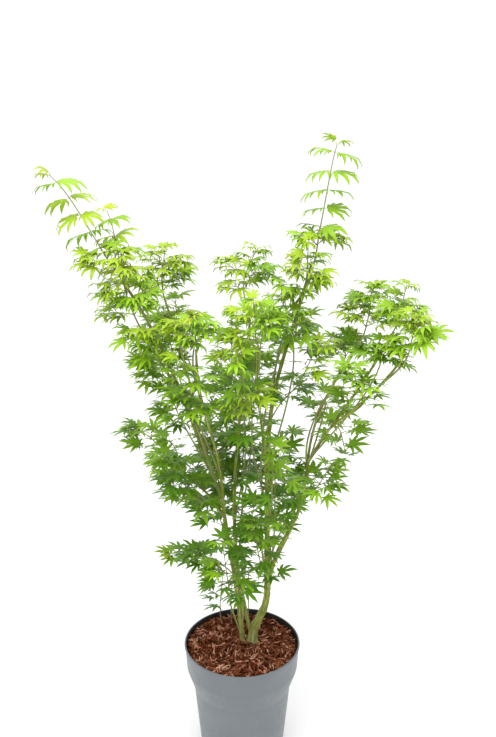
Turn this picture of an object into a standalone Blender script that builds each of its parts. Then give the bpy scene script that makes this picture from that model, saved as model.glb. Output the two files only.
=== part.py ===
"""A young Japanese maple in a plastic nursery pot, as separate solids.

Run with: blender --background --python part.py
Units are metres, +Z is up, -Y is the front, and the origin is the middle of the
pot's flat underside. Every stem is a tapering tube on a bent path, and every
mass of foliage is grown from one shoot by the same seeded rule.
"""

import math
import random

import bmesh
import bpy
from mathutils import Matrix, Vector
from mathutils.kdtree import KDTree

# ---------------------------------------------------------------- driving sizes

CLEAR = 0.0003                  # gap kept between neighbouring solids

POT_HEIGHT = 0.265
RIM_RADIUS = 0.12
COLLAR_RADIUS = 0.1155          # outside of the upright collar, at its foot
COLLAR_HEIGHT = 0.053
SHOULDER_HEIGHT = 0.045         # sloping step between collar and body
BODY_RADIUS = 0.101             # outside of the body, just under the shoulder
FOOT_RADIUS = 0.086
WALL = 0.002
LIP_WIDTH = 0.0035
LIP_DEPTH = 0.004
LIP_BEVEL = 0.001
FLOOR_THICKNESS = 0.003
CHANNEL_RISE = 0.006            # drainage channel stands this high off the ground
CHANNEL_INNER = 0.042
CHANNEL_OUTER = 0.074
CHANNEL_SLOPE = 0.004           # how far each side of the channel leans in
DRAIN_HOLES = 8
DRAIN_RADIUS = 0.006
DRAIN_SIDES = 10
TURNED_SIDES = 28

FILL_DROP = 0.013               # top of the bark mulch, below the rim
SOIL_Z = POT_HEIGHT - FILL_DROP

TRUNK_FLARE = 1.35              # root flare, as a share of the trunk's radius
FLARE_HEIGHT = 0.012
LIMB_STEP = 0.065               # length of each straight run in a limb's tube
LIMB_LEAD = 2.4                 # a side limb leaves square for this many of its radii
BEND_ROOM = 0.3                 # seats stay this share of a run away from its bends
THICK_LIMB = 0.004              # a limb thicker than this has eight sides, not six

SHOOT_BASE = 0.0026             # radius of a mass's shoot at its foot and tip
SHOOT_TIP = 0.0015
TWIG_TIP = 0.0010
SHOOT_POINTS = 5
HEADING_STEP = 0.01             # share of a curve over which its heading is taken
LEAD_IN = 0.004                 # a shoot leaves its limb square for this far
SHOOT_START = 0.35              # how far a shoot holds that way, as a share of its span
SHOOT_LIFT = 0.12               # how much it arches, as a share of its span
SHOOT_CREST = 0.7               # where it arches most
NODE_SPACING = 0.047
FIRST_NODE = 0.020
LAST_NODE = 0.97                # share of the shoot's length
PAIR_OFFSET = 0.0012            # the two of a pair root this far apart
TURN_JITTER = 0.3
TWIGS_BELOW = 0.55              # nodes lower than this bear twigs, higher ones leaves
TWIG_REACH = 0.55               # side twig's length, as a share of the mass's reach
TWIG_VARIES = (0.8, 1.1)
TWIG_LEVELLING = 0.7            # how much of a side twig's rise is kept
SIDE_TWIG_SHARE = 0.48          # side twig's radius, as a share of its shoot's
TWIG_LEAVES = [(0.90, 0.95), (0.80, 0.90), (0.75, 0.90)]    # place and size of each

LEAF_REACH = 1.15               # blade length, as a share of the mass's reach
LEAF_LONGEST = 0.066
LEAF_SHORTEST = 0.046
PETIOLE_SHARE = 0.28            # petiole length, as a share of the blade
PETIOLE_STEPS = (0.6, 1.0)      # where along a petiole its room is tested
LEAF_THICKNESS = 0.022          # thickness at the middle, as a share of the blade
LEAF_DROOP = 0.26               # fall of the lobe tips, as a share of the blade
LEAF_LEVELLING = 0.35           # how much of a leaf's rise is kept: blades lie flat
LEAF_NOD = 0.42                 # how far a blade then nods
LEAF_SHRINK = 0.15              # how much smaller leaves are at a shoot's tip
SPREAD_ANGLE = math.radians(58)
TIP_LEAF = 0.75                 # size of the leaf that ends a shoot
TIP_ROOT = 0.985
TIP_LEVELLING = 0.4

TRY_TURNS = [0, 20, -20, 40, -40, 60, -60, 80, -80]     # degrees round the shoot
TRY_SIZES = [1.0, 0.85, 0.7]
MOST_ATTEMPTS = 6
LEAF_ROOM = 0.005               # least distance between two leaves of one mass
LIMB_ROOM = 0.005               # least distance from a leaf to a limb
RIM_ROOM = 0.008                # least distance from a leaf to the pot
SPACE_MARGIN = 0.07             # share of its reach that a mass keeps from the next
NEARLY_UPRIGHT = 0.05           # a shoot this close to upright has no level side
AXIS_SAMPLES = 12
LIMB_SAMPLE_STEP = 0.004
LEAF_SAMPLE_STEP = 0.009
TWIG_STEPS = [0.2, 0.35, 0.5, 0.65, 0.8, 1.0]
WELD = 0.000002                 # corners closer than this are made one
TURN_WELD = 0.00001             # the same, for a solid turned round Z

# Half of the leaf's outline, from the middle lobe's tip round to the petiole:
# (angle from the middle lobe in degrees, distance as a share of the blade).
HALF_OUTLINE = [(0, 1.0), (20, 0.46), (42, 0.90), (62, 0.42), (84, 0.70), (128, 0.18)]

# Each limb: its parent, how far along the parent it leaves, two points that bend
# it, its tip, and its radius at the foot and the tip. The two that rise from the
# soil have a foot point in place of a parent.
LIMBS = {
    "trunk": (None, (0.021, 0.018), (0.020, 0.016, 0.312), (0.051, 0.012, 0.312),
              (0.052, 0.008, 0.385), 0.0100, 0.0062),
    "stem_left": (None, (0.001, 0.019), (-0.006, 0.014, 0.385),
                  (-0.027, 0.006, 0.477), (-0.039, 0.000, 0.598), 0.0055, 0.0036),
    "bough_middle": ("trunk", 0.14, (-0.072, 0.075, 0.545), (0.044, 0.052, 0.945),
                     (0.008, 0.065, 0.981), 0.0046, 0.0020),
    "bough_leader": ("trunk", 1.0, (0.046, -0.004, 0.867), (0.049, 0.026, 0.747),
                     (0.129, 0.020, 1.063), 0.0060, 0.0023),
    "bough_right_low": ("trunk", 0.95, (0.072, 0.000, 0.545), (0.113, 0.000, 0.485),
                        (0.129, 0.000, 0.673), 0.0042, 0.0030),
    "bough_left_outer": ("stem_left", 1.0, (-0.093, -0.019, 0.742),
                         (-0.122, -0.035, 0.905), (-0.210, -0.045, 1.043),
                         0.0034, 0.0021),
    "bough_left_back": ("bough_left_outer", 0.28, (-0.082, 0.030, 0.757),
                        (-0.105, 0.071, 0.840), (-0.148, 0.090, 0.974),
                        0.0026, 0.0021),
    "bough_left_front": ("stem_left", 0.93, (-0.038, -0.035, 0.750),
                         (-0.081, -0.056, 0.776), (-0.079, -0.090, 0.930),
                         0.0028, 0.0021),
    "bough_centre_front": ("bough_leader", 0.26, (0.045, -0.040, 0.795),
                           (0.026, -0.055, 0.790), (0.026, -0.090, 0.930),
                           0.0028, 0.0021),
    "bough_right_outer": ("bough_right_low", 1.0, (0.170, -0.005, 0.758),
                          (0.202, -0.030, 0.798), (0.274, -0.030, 0.939),
                          0.0028, 0.0020),
    "bough_right_inner": ("bough_right_low", 0.93, (0.135, 0.035, 0.774),
                          (0.178, 0.059, 0.799), (0.234, 0.080, 0.907),
                          0.0026, 0.0020),
    "bough_right_side": ("bough_right_outer", 0.30, (0.197, -0.043, 0.790),
                         (0.247, -0.075, 0.842), (0.287, -0.100, 0.924),
                         0.0026, 0.0021),
    "bough_mid_left": ("stem_left", 0.86, (-0.070, 0.028, 0.615),
                       (-0.123, 0.040, 0.621), (-0.158, 0.060, 0.668),
                       0.0026, 0.0021),
}

# Each mass of foliage: the limb that bears it, how far along that limb (1 is its
# tip), the place its shoot grows to, and its reach to either side of the shoot.
MASSES = {
    "leader_left": ("bough_left_outer", 1.0, (-0.319, -0.060, 1.226), 0.045),
    "crown_left_outer": ("bough_left_outer", 0.91, (-0.207, -0.070, 1.083), 0.046),
    "crown_left_side": ("bough_left_outer", 0.72, (-0.166, -0.105, 0.968), 0.050),
    "mid_left_outer": ("bough_left_outer", 0.58, (-0.181, -0.020, 0.884), 0.046),
    "mid_left_inner": ("bough_left_outer", 0.4, (-0.135, -0.065, 0.864), 0.030),
    "leader_left_second": ("bough_left_outer", 0.82, (-0.239, 0.020, 1.153), 0.052),
    "crown_left_top": ("bough_left_back", 1.0, (-0.147, 0.105, 1.068), 0.066),
    "crown_left_right": ("bough_left_back", 0.74, (-0.131, 0.130, 0.963), 0.060),
    "crown_left_back": ("bough_left_back", 0.55, (-0.174, 0.165, 0.936), 0.062),
    "front_left_top": ("bough_left_front", 1.0, (-0.082, -0.120, 0.992), 0.052),
    "front_left_low": ("bough_left_front", 0.7, (-0.098, -0.165, 0.930), 0.050),
    "crown_centre_top": ("bough_middle", 1.0, (0.027, 0.060, 1.076), 0.070),
    "crown_centre_left": ("bough_middle", 0.75, (-0.019, 0.022, 0.966), 0.048),
    "crown_centre_back": ("bough_middle", 0.67, (0.050, 0.165, 0.925), 0.066),
    "mid_centre_left": ("bough_middle", 0.5, (-0.042, 0.100, 0.855), 0.054),
    "mid_centre_back": ("bough_middle", 0.42, (0.010, 0.150, 0.775), 0.064),
    "low_centre_inner": ("bough_middle", 0.3, (-0.075, 0.125, 0.690), 0.056),
    "front_centre_top": ("bough_centre_front", 1.0, (0.022, -0.110, 1.020), 0.056),
    "front_centre_low": ("bough_centre_front", 0.55, (-0.007, -0.165, 0.938), 0.053),
    "leader_right": ("bough_leader", 1.0, (0.168, 0.020, 1.271), 0.050),
    "neck_right": ("bough_leader", 0.93, (0.118, -0.040, 1.109), 0.048),
    "crown_right_centre": ("bough_leader", 0.81, (0.073, -0.045, 1.035), 0.052),
    "crown_right_low": ("bough_leader", 0.74, (0.111, 0.055, 0.989), 0.040),
    "mid_right_shoot": ("bough_leader", 0.62, (0.147, -0.035, 0.924), 0.028),
    "mid_centre_right": ("bough_leader", 0.34, (0.100, 0.095, 0.689), 0.056),
    "mid_centre_front": ("bough_leader", 0.25, (0.060, -0.110, 0.745), 0.054),
    "low_centre_right": ("bough_leader", 0.1, (0.020, -0.100, 0.593), 0.044),
    "crown_right_left": ("bough_right_inner", 1.0, (0.254, 0.100, 0.996), 0.066),
    "crown_right_arm": ("bough_right_inner", 0.8, (0.205, 0.110, 0.900), 0.046),
    "mid_right_back": ("bough_right_inner", 0.5, (0.180, 0.145, 0.697), 0.042),
    "crown_right_top": ("bough_right_outer", 1.0, (0.298, -0.015, 1.025), 0.058),
    "crown_right_front": ("bough_right_outer", 0.82, (0.262, -0.056, 0.927), 0.060),
    "mid_right_low": ("bough_right_outer", 0.3, (0.203, 0.020, 0.686), 0.044),
    "crown_right_outer": ("bough_right_side", 1.0, (0.299, -0.118, 0.999), 0.052),
    "mid_right_front": ("bough_right_side", 0.52, (0.185, -0.135, 0.913), 0.046),
    "low_right_side": ("bough_right_low", 0.8, (0.170, -0.010, 0.662), 0.044),
    "low_right_inner": ("bough_right_low", 0.62, (0.090, 0.085, 0.595), 0.056),
    "low_right_foot": ("bough_right_low", 0.3, (0.033, 0.070, 0.540), 0.042),
    "low_left_top": ("bough_mid_left", 0.55, (-0.148, -0.085, 0.725), 0.030),
    "low_left_spray": ("stem_left", 0.58, (-0.136, -0.020, 0.482), 0.034),
    "mid_left_spray": ("bough_mid_left", 1.0, (-0.215, 0.070, 0.716), 0.042),
    "low_left_inner": ("bough_mid_left", 0.3, (-0.135, -0.030, 0.731), 0.044),
    "low_centre_foot": ("stem_left", 0.4, (-0.038, -0.090, 0.545), 0.052),
}

# Colours from the low shaded foliage to the fresh tips, by height.
LEAF_TINTS = [
    (0.16, 0.27, 0.08),
    (0.24, 0.37, 0.11),
    (0.36, 0.48, 0.15),
    (0.52, 0.60, 0.22),
]
LEAF_TINT_FLOOR = 0.40
LEAF_TINT_TOP = 1.10


# -------------------------------------------------------------------- materials

def principled(name, colour, roughness):
    """A plain Principled material."""
    material = bpy.data.materials.new(name)
    material.use_nodes = True
    shader = material.node_tree.nodes["Principled BSDF"]
    shader.inputs["Base Color"].default_value = (*colour, 1.0)
    shader.inputs["Roughness"].default_value = roughness
    shader.inputs["Metallic"].default_value = 0.0
    return material


def leaf_tint(height, materials):
    """The foliage material for a mass whose shoot ends at this height."""
    share = (height - LEAF_TINT_FLOOR) / (LEAF_TINT_TOP - LEAF_TINT_FLOOR)
    index = int(share * len(materials))
    return materials[max(0, min(len(materials) - 1, index))]


# ------------------------------------------------------------------- scene help

def clear_scene():
    """Remove everything that Blender starts with."""
    for thing in list(bpy.data.objects):
        bpy.data.objects.remove(thing, do_unlink=True)


def new_collection(name, hidden=False):
    """A collection linked to the scene, hidden from renders when it holds cutters."""
    collection = bpy.data.collections.new(name)
    bpy.context.scene.collection.children.link(collection)
    collection.hide_render = hidden
    return collection


def mesh_object(name, mesh, collection):
    """An object holding this mesh, linked to the collection."""
    thing = bpy.data.objects.new(name, mesh)
    collection.objects.link(thing)
    return thing


def finish_part(thing, material, assembly, smooth=False):
    """Give a finished solid its material, shading and parent."""
    thing.data.materials.clear()
    thing.data.materials.append(material)
    thing.data.polygons.foreach_set("use_smooth", [smooth] * len(thing.data.polygons))
    thing.parent = assembly
    return thing


def bake(thing, name, collection, weld=True):
    """Replace an object by a plain mesh object of its evaluated shape."""
    evaluated = thing.evaluated_get(bpy.context.evaluated_depsgraph_get())
    mesh = bpy.data.meshes.new_from_object(evaluated)
    if weld:
        solid = bmesh.new()
        solid.from_mesh(mesh)
        bmesh.ops.remove_doubles(solid, verts=solid.verts, dist=WELD)
        bmesh.ops.recalc_face_normals(solid, faces=solid.faces)
        solid.to_mesh(mesh)
        solid.free()
    bpy.data.objects.remove(thing, do_unlink=True)
    return mesh_object(name, mesh, collection)


# ------------------------------------------------------------------------ paths

def bezier(points, share):
    """The point at this share of the way along a cubic curve."""
    a, b, c, d = points
    rest = 1.0 - share
    return (a * rest ** 3 + b * (3 * rest ** 2 * share)
            + c * (3 * rest * share ** 2) + d * share ** 3)


def heading(points, share):
    """The direction of travel at this share of the way along a cubic curve."""
    before = bezier(points, max(0.0, share - HEADING_STEP))
    after = bezier(points, min(1.0, share + HEADING_STEP))
    return (after - before).normalized()


class Stem:
    """A tapering tube of straight runs between knots."""

    def __init__(self, knots, foot_radius, tip_radius):
        self.knots = knots
        self.foot_radius = foot_radius
        self.tip_radius = tip_radius
        runs = [(b - a).length for a, b in zip(knots, knots[1:])]
        self.length = sum(runs)
        self.marks = [sum(runs[:i]) / self.length for i in range(len(knots))]

    def run(self, share):
        """The straight run at this share of the length, and how far along it."""
        index = len([mark for mark in self.marks[1:-1] if mark < share])
        low, high = self.marks[index], self.marks[index + 1]
        return index, (share - low) / (high - low)

    def at(self, share):
        """The middle of the tube at this share of its length."""
        index, part = self.run(share)
        return self.knots[index].lerp(self.knots[index + 1], part)

    def direction(self, share):
        """Which way the tube runs at this share of its length."""
        index = self.run(share)[0]
        return (self.knots[index + 1] - self.knots[index]).normalized()

    def radius(self, share):
        """How thick the tube is at this share of its length."""
        return self.foot_radius + (self.tip_radius - self.foot_radius) * share

    def side_seat(self, share, towards):
        """Where a shoot leaves the side towards a point, and which way it sets off."""
        index, part = self.run(share)
        part = max(BEND_ROOM, min(1.0 - BEND_ROOM, part))
        share = self.marks[index] * (1.0 - part) + self.marks[index + 1] * part
        middle = self.at(share)
        along = self.direction(share)
        out = towards - middle
        out.z = 0.0
        out = (out - along * out.dot(along)).normalized()
        return middle + out * (self.radius(share) + CLEAR), out

    def seat(self, share, towards):
        """Where a stem joins this one, at its tip or on its side, and its way out."""
        if share < 1.0:
            return self.side_seat(share, towards)
        out = self.direction(1.0)
        return self.at(1.0) + out * CLEAR, out

    def path(self):
        """The tube's points, each with its radius."""
        return [(knot, self.radius(mark)) for knot, mark in zip(self.knots, self.marks)]


def make_limb(name, limbs):
    """A trunk, stem or bough: straight runs along a cubic curve."""
    parent, along, bend_a, bend_b, tip, foot_radius, tip_radius = LIMBS[name]
    bend_a, bend_b, tip = Vector(bend_a), Vector(bend_b), Vector(tip)
    if parent is None:
        start, lead = Vector((*along, SOIL_Z + CLEAR)), Vector((0, 0, 1))
        lead_length = FLARE_HEIGHT
    else:
        start, lead = limbs[parent].seat(along, bend_a)
        lead_length = LEAD_IN if along == 1.0 else LIMB_LEAD * foot_radius
    first = start + lead * lead_length
    count = max(4, round((tip - first).length / LIMB_STEP) + 1)
    curve = [first, bend_a, bend_b, tip]
    knots = [start] + [bezier(curve, i / (count - 1)) for i in range(count)]
    knots.insert(-1, tip - heading(curve, 1.0) * LEAD_IN)
    return Stem(knots, foot_radius, tip_radius)


def limb_section(sides):
    """A ring that a curve carries along its path."""
    ring = bpy.data.curves.new("section", "CURVE")
    ring.dimensions = "2D"
    spline = ring.splines.new("POLY")
    spline.points.add(sides - 1)
    spline.use_cyclic_u = True
    for index, point in enumerate(spline.points):
        angle = 2 * math.pi * index / sides
        point.co = (math.cos(angle), math.sin(angle), 0.0, 1.0)
    return ring


def tube(name, points, section, collection):
    """A closed tapering tube through these points, each with its radius."""
    curve = bpy.data.curves.new(name, "CURVE")
    curve.dimensions = "3D"
    curve.bevel_mode = "OBJECT"
    curve.bevel_object = section
    curve.use_fill_caps = True
    curve.twist_mode = "MINIMUM"
    spline = curve.splines.new("POLY")
    spline.points.add(len(points) - 1)
    for knot, (place, radius) in zip(spline.points, points):
        knot.co = (*place, 1.0)
        knot.radius = radius
    carrier = bpy.data.objects.new(name + "_path", curve)
    collection.objects.link(carrier)
    bpy.context.view_layer.update()
    return bake(carrier, name, collection)


# -------------------------------------------------------------------------- pot

def turned(name, profile, collection):
    """A solid turned round Z from a closed profile of (radius, height) points."""
    mesh = bpy.data.meshes.new(name + "_profile")
    outline = bmesh.new()
    corners = [outline.verts.new((radius, 0.0, height)) for radius, height in profile]
    for first, second in zip(corners, corners[1:]):
        outline.edges.new((first, second))
    if profile[0][0] > 0.0:
        outline.edges.new((corners[-1], corners[0]))
    outline.to_mesh(mesh)
    outline.free()
    thing = mesh_object(name + "_turned", mesh, collection)
    screw = thing.modifiers.new("turn", "SCREW")
    screw.steps = TURNED_SIDES
    screw.render_steps = TURNED_SIDES
    screw.use_merge_vertices = True
    screw.merge_threshold = TURN_WELD
    return bake(thing, name, collection)


def wall_radius(height):
    """The pot's outside radius at this height."""
    shoulder_top = POT_HEIGHT - COLLAR_HEIGHT
    shoulder_foot = shoulder_top - SHOULDER_HEIGHT
    if height <= shoulder_foot:
        return FOOT_RADIUS + (BODY_RADIUS - FOOT_RADIUS) * height / shoulder_foot
    if height <= shoulder_top:
        share = (height - shoulder_foot) / SHOULDER_HEIGHT
        return BODY_RADIUS + (COLLAR_RADIUS - BODY_RADIUS) * share
    share = (height - shoulder_top) / COLLAR_HEIGHT
    return COLLAR_RADIUS + (RIM_RADIUS - LIP_WIDTH / 2 - COLLAR_RADIUS) * share


def pot_heights():
    """Heights at which the pot's side changes slope."""
    shoulder_top = POT_HEIGHT - COLLAR_HEIGHT
    return [shoulder_top - SHOULDER_HEIGHT, shoulder_top]


def make_pot(parts, cutters):
    """The nursery pot: foot ring, drained floor, body, shoulder, collar and lip."""
    lip_foot = POT_HEIGHT - LIP_DEPTH
    outside = [(wall_radius(0.0), 0.0)]
    outside += [(wall_radius(height), height) for height in pot_heights()]
    outside += [(wall_radius(lip_foot), lip_foot),
                (RIM_RADIUS, lip_foot + LIP_BEVEL), (RIM_RADIUS, POT_HEIGHT)]
    inside = [(RIM_RADIUS - LIP_WIDTH, POT_HEIGHT)]
    inside += [(wall_radius(height) - WALL, height) for height in reversed(pot_heights())]
    floor_top = CHANNEL_RISE + FLOOR_THICKNESS
    inside += [(wall_radius(floor_top) - WALL, floor_top), (0.0, floor_top)]
    underside = [(0.0, 0.0), (CHANNEL_INNER, 0.0), (CHANNEL_INNER + CHANNEL_SLOPE, CHANNEL_RISE),
                 (CHANNEL_OUTER - CHANNEL_SLOPE, CHANNEL_RISE), (CHANNEL_OUTER, 0.0)]
    pot = turned("pot", underside + outside + inside, parts)
    for index in range(DRAIN_HOLES):
        angle = 2 * math.pi * (index + 0.5) / DRAIN_HOLES
        distance = (CHANNEL_INNER + CHANNEL_OUTER) / 2
        cutter = bpy.data.meshes.new("drain")
        hole = bmesh.new()
        bmesh.ops.create_cone(hole, cap_ends=True, segments=DRAIN_SIDES,
                              radius1=DRAIN_RADIUS, radius2=DRAIN_RADIUS,
                              depth=4 * floor_top)
        hole.to_mesh(cutter)
        hole.free()
        drill = mesh_object("drain", cutter, cutters)
        drill.location = (distance * math.cos(angle), distance * math.sin(angle), 0.0)
        drill.display_type = "WIRE"
        drill.hide_render = True
    drilling = pot.modifiers.new("drain_holes", "BOOLEAN")
    drilling.operation = "DIFFERENCE"
    drilling.operand_type = "COLLECTION"
    drilling.collection = cutters
    drilling.solver = "EXACT"
    bpy.context.view_layer.update()
    return bake(pot, "pot", parts)


def make_mulch(parts):
    """The pot's fill with its bark mulch top, clear of the wall and floor."""
    floor_top = CHANNEL_RISE + FLOOR_THICKNESS + CLEAR
    gap = WALL + CLEAR
    heights = [floor_top] + pot_heights() + [SOIL_Z]
    side = [(wall_radius(height) - gap, height) for height in heights]
    return turned("bark_mulch", [(0.0, floor_top)] + side + [(0.0, SOIL_Z)], parts)


# ------------------------------------------------------------------------ limbs

def make_limbs(parts, sections):
    """Trunk, stems and boughs, each one tapering tube."""
    limbs = {}
    solids = {}
    for name in LIMBS:
        limb = make_limb(name, limbs)
        limbs[name] = limb
        points = limb.path()
        if name == "trunk":
            points = [(points[0][0], limb.foot_radius * TRUNK_FLARE)] + points[1:]
        section = sections[8] if limb.foot_radius > THICK_LIMB else sections[6]
        solids[name] = tube(name, points, section, parts)
    return limbs, solids


# -------------------------------------------------------------------- leaves

def leaf_outline(blade, petiole):
    """The leaf's rim, anticlockwise from the middle lobe's tip."""
    rim = [(math.radians(angle), share * blade) for angle, share in HALF_OUTLINE]
    other = [(-angle, distance) for angle, distance in reversed(rim[1:])]
    return rim + [(math.pi, petiole)] + other


def leaf_frame(root, ahead, petiole):
    """A leaf's own axes: forward along its middle lobe, and up off its face."""
    side = Vector((0, 0, 1)).cross(ahead).normalized()
    up = ahead.cross(side)
    turn = Matrix((ahead, side, up)).transposed().to_4x4()
    return Matrix.Translation(root + ahead * petiole) @ turn


def leaf_samples(root, ahead, blade, petiole):
    """Points over the leaf, used to keep it clear of its neighbours."""
    frame = leaf_frame(root, ahead, petiole)
    points = [root + ahead * petiole * step for step in PETIOLE_STEPS]
    for angle, share in HALF_OUTLINE:
        for sign in (1, -1) if angle else (1,):
            steps = max(1, round(blade * share / LEAF_SAMPLE_STEP))
            for step in range(1, steps + 1):
                distance = blade * share * step / steps
                turn = math.radians(angle) * sign
                drop = -LEAF_DROOP * distance * distance / blade
                points.append(frame @ Vector((distance * math.cos(turn),
                                              distance * math.sin(turn), drop)))
    return points


def make_leaf(root, ahead, blade, petiole, collection):
    """A five-lobed leaf: a flat double cone whose rim follows the outline."""
    rim = leaf_outline(blade, petiole)
    leaf = bmesh.new()
    bmesh.ops.create_cone(leaf, cap_ends=True, cap_tris=True, segments=len(rim),
                          radius1=1.0, radius2=0.0, depth=1.0)
    thick = blade * LEAF_THICKNESS
    for vert in leaf.verts:
        if math.hypot(vert.co.x, vert.co.y) < 0.5:
            vert.co = (0.0, 0.0, math.copysign(thick / 2, vert.co.z))
            continue
        turn = math.atan2(vert.co.y, vert.co.x) / (2 * math.pi)
        angle, distance = rim[round(turn * len(rim)) % len(rim)]
        is_petiole = angle == math.pi
        drop = 0.0 if is_petiole else -LEAF_DROOP * distance * distance / blade
        vert.co = (distance * math.cos(angle), distance * math.sin(angle), drop)
    leaf.transform(leaf_frame(root, ahead, petiole))
    mesh = bpy.data.meshes.new("leaf")
    leaf.to_mesh(mesh)
    leaf.free()
    return mesh_object("leaf", mesh, collection)


# ---------------------------------------------------------------------- foliage

class Mass(Stem):
    """One mass of foliage: the shoot that carries it and the space it fills."""

    def __init__(self, name, limbs):
        bearer, along, apex, self.reach = MASSES[name]
        self.name = name
        self.apex = Vector(apex)
        foot, out = limbs[bearer].seat(along, self.apex)
        lead = foot + out * LEAD_IN
        span = (self.apex - lead).length
        lift = Vector((0, 0, SHOOT_LIFT * span))
        curve = [lead, lead + out * SHOOT_START * span,
                 lead.lerp(self.apex, SHOOT_CREST) + lift, self.apex]
        knots = [foot] + [bezier(curve, i / (SHOOT_POINTS - 1)) for i in range(SHOOT_POINTS)]
        super().__init__(knots, SHOOT_BASE, SHOOT_TIP)
        self.line = [self.at(i / AXIS_SAMPLES) for i in range(AXIS_SAMPLES + 1)]

    def distance(self, point):
        """How far a point lies from the shoot, as a share of the reach."""
        return min((place - point).length for place in self.line) / self.reach


class Room:
    """Says whether a leaf or twig stays in its own mass's space, clear of limbs."""

    def __init__(self, limbs, masses):
        self.limb_radii = []
        places = []
        for limb in limbs.values():
            count = int(limb.length / LIMB_SAMPLE_STEP)
            places += [limb.at(i / count) for i in range(count + 1)]
            self.limb_radii += [limb.radius(i / count) for i in range(count + 1)]
        self.limb_tree = search_tree(places)
        self.owners = [mass for mass in masses for place in mass.line]
        self.shoot_tree = search_tree([place for mass in masses for place in mass.line])
        self.widest = max(mass.reach for mass in masses)

    def is_own(self, point, mass):
        """Whether this mass's shoot is the nearest one, reach for reach."""
        limit = mass.distance(point) + SPACE_MARGIN
        for place, index, gap in self.shoot_tree.find_range(point, limit * self.widest):
            owner = self.owners[index]
            if owner is not mass and gap / owner.reach < limit:
                return False
        return True

    def is_free(self, points, mass, taken):
        """Whether these points are off the pot, the limbs, leaves and other masses."""
        for point in points:
            over_pot = math.hypot(point.x, point.y) < RIM_RADIUS + RIM_ROOM
            if point.z < POT_HEIGHT + RIM_ROOM and over_pot:
                return False
            place, index, gap = self.limb_tree.find(point)
            if gap < self.limb_radii[index] + LIMB_ROOM:
                return False
            if any((place - point).length < LEAF_ROOM for place in taken):
                return False
            if not self.is_own(point, mass):
                return False
        return True


def search_tree(places):
    """A tree that finds the nearest of these places to a point."""
    tree = KDTree(len(places))
    for index, place in enumerate(places):
        tree.insert(place, index)
    tree.balance()
    return tree


def ring_direction(along, turn):
    """A direction square to a shoot, turned round it from its level side."""
    level = along.cross(Vector((0, 0, 1)))
    if level.length < NEARLY_UPRIGHT:
        level = Vector((1, 0, 0))
    level.normalize()
    rise = level.cross(along)
    return level * math.cos(turn) + rise * math.sin(turn)


def spread_direction(along, turn):
    """A direction that leaves a shoot at the spread angle."""
    out = ring_direction(along, turn)
    return along * math.cos(SPREAD_ANGLE) + out * math.sin(SPREAD_ANGLE)


def leaf_heading(along, turn):
    """Which way a leaf points from its shoot: outwards, nearly level, and nodding."""
    ahead = spread_direction(along, turn)
    ahead.z = ahead.z * LEAF_LEVELLING - LEAF_NOD
    return ahead.normalized()


class Growth:
    """The twigs and leaves of one mass, each kept only where it has room."""

    def __init__(self, mass, room, attempt):
        self.mass = mass
        self.room = room
        self.dice = random.Random(f"{mass.name} {attempt}")
        self.blade = max(LEAF_SHORTEST, min(LEAF_LONGEST, mass.reach * LEAF_REACH))
        self.twigs = []
        self.leaves = []
        self.taken = list(mass.line)

    def add_leaf(self, root, along, turn, size):
        """A leaf rooted here, turned round or made smaller until it has room."""
        stalk = self.blade * PETIOLE_SHARE * size
        for try_size in TRY_SIZES:
            length = self.blade * size * try_size
            for try_turn in TRY_TURNS:
                ahead = leaf_heading(along, turn + math.radians(try_turn))
                samples = leaf_samples(root, ahead, length, stalk)
                if self.room.is_free(samples, self.mass, self.taken):
                    self.taken.extend(samples)
                    self.leaves.append((root, ahead, length, stalk))
                    return

    def add_twig(self, root, share, turn):
        """A side twig with its leaves, where there is room for one."""
        way = spread_direction(self.mass.direction(share), turn)
        way.z *= TWIG_LEVELLING
        reach = self.mass.reach * TWIG_REACH * self.dice.uniform(*TWIG_VARIES)
        tip = root + way * reach
        path = [root.lerp(tip, step) for step in TWIG_STEPS]
        if not self.room.is_free(path, self.mass, self.taken[len(self.mass.line):]):
            return False
        self.twigs.append((root, tip, self.mass.radius(share) * SIDE_TWIG_SHARE))
        way.normalize()
        turns = (self.dice.uniform(0, 2 * math.pi), 0.0, math.pi)
        for turn, (place, size) in zip(turns, TWIG_LEAVES):
            self.add_leaf(root.lerp(tip, place), way, turn, size)
        return True

    def grow(self):
        """Side twigs low on the shoot, leaf pairs above, and a leaf at its tip."""
        mass = self.mass
        count = max(2, round((mass.length - FIRST_NODE) / NODE_SPACING) + 1)
        turn = self.dice.uniform(0, math.pi)
        first = FIRST_NODE / mass.length
        for index in range(count):
            share = first + (LAST_NODE - first) * index / (count - 1)
            turn += math.pi / 2 + self.dice.uniform(-TURN_JITTER, TURN_JITTER)
            for side in (0.0, math.pi):
                root = mass.at(share)
                if share > TWIGS_BELOW or not self.add_twig(root, share, turn + side):
                    size = 1.0 - LEAF_SHRINK * share
                    self.add_leaf(root, mass.direction(share), turn + side, size)
                share += PAIR_OFFSET / mass.length
        ahead = mass.direction(1.0)
        ahead.z *= TIP_LEVELLING
        size = self.blade * TIP_LEAF
        self.leaves.append((mass.at(TIP_ROOT), ahead.normalized(), size, size * PETIOLE_SHARE))


def keep_main_body(mesh):
    """Drop loose scraps and sealed hollows, and say whether the rest is closed."""
    solid = bmesh.new()
    solid.from_mesh(mesh)
    unseen = set(solid.faces)
    bodies = []
    while unseen:
        stack = [unseen.pop()]
        body = list(stack)
        while stack:
            for edge in stack.pop().edges:
                for face in edge.link_faces:
                    if face in unseen:
                        unseen.discard(face)
                        body.append(face)
                        stack.append(face)
        bodies.append(body)
    bodies.sort(key=len)
    scraps = [face for body in bodies[:-1] for face in body]
    bmesh.ops.delete(solid, geom=scraps, context="FACES")
    bmesh.ops.remove_doubles(solid, verts=solid.verts, dist=WELD)
    bmesh.ops.triangulate(solid, faces=solid.faces)
    closed = all(edge.is_manifold for edge in solid.edges)
    solid.to_mesh(mesh)
    solid.free()
    return closed


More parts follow.
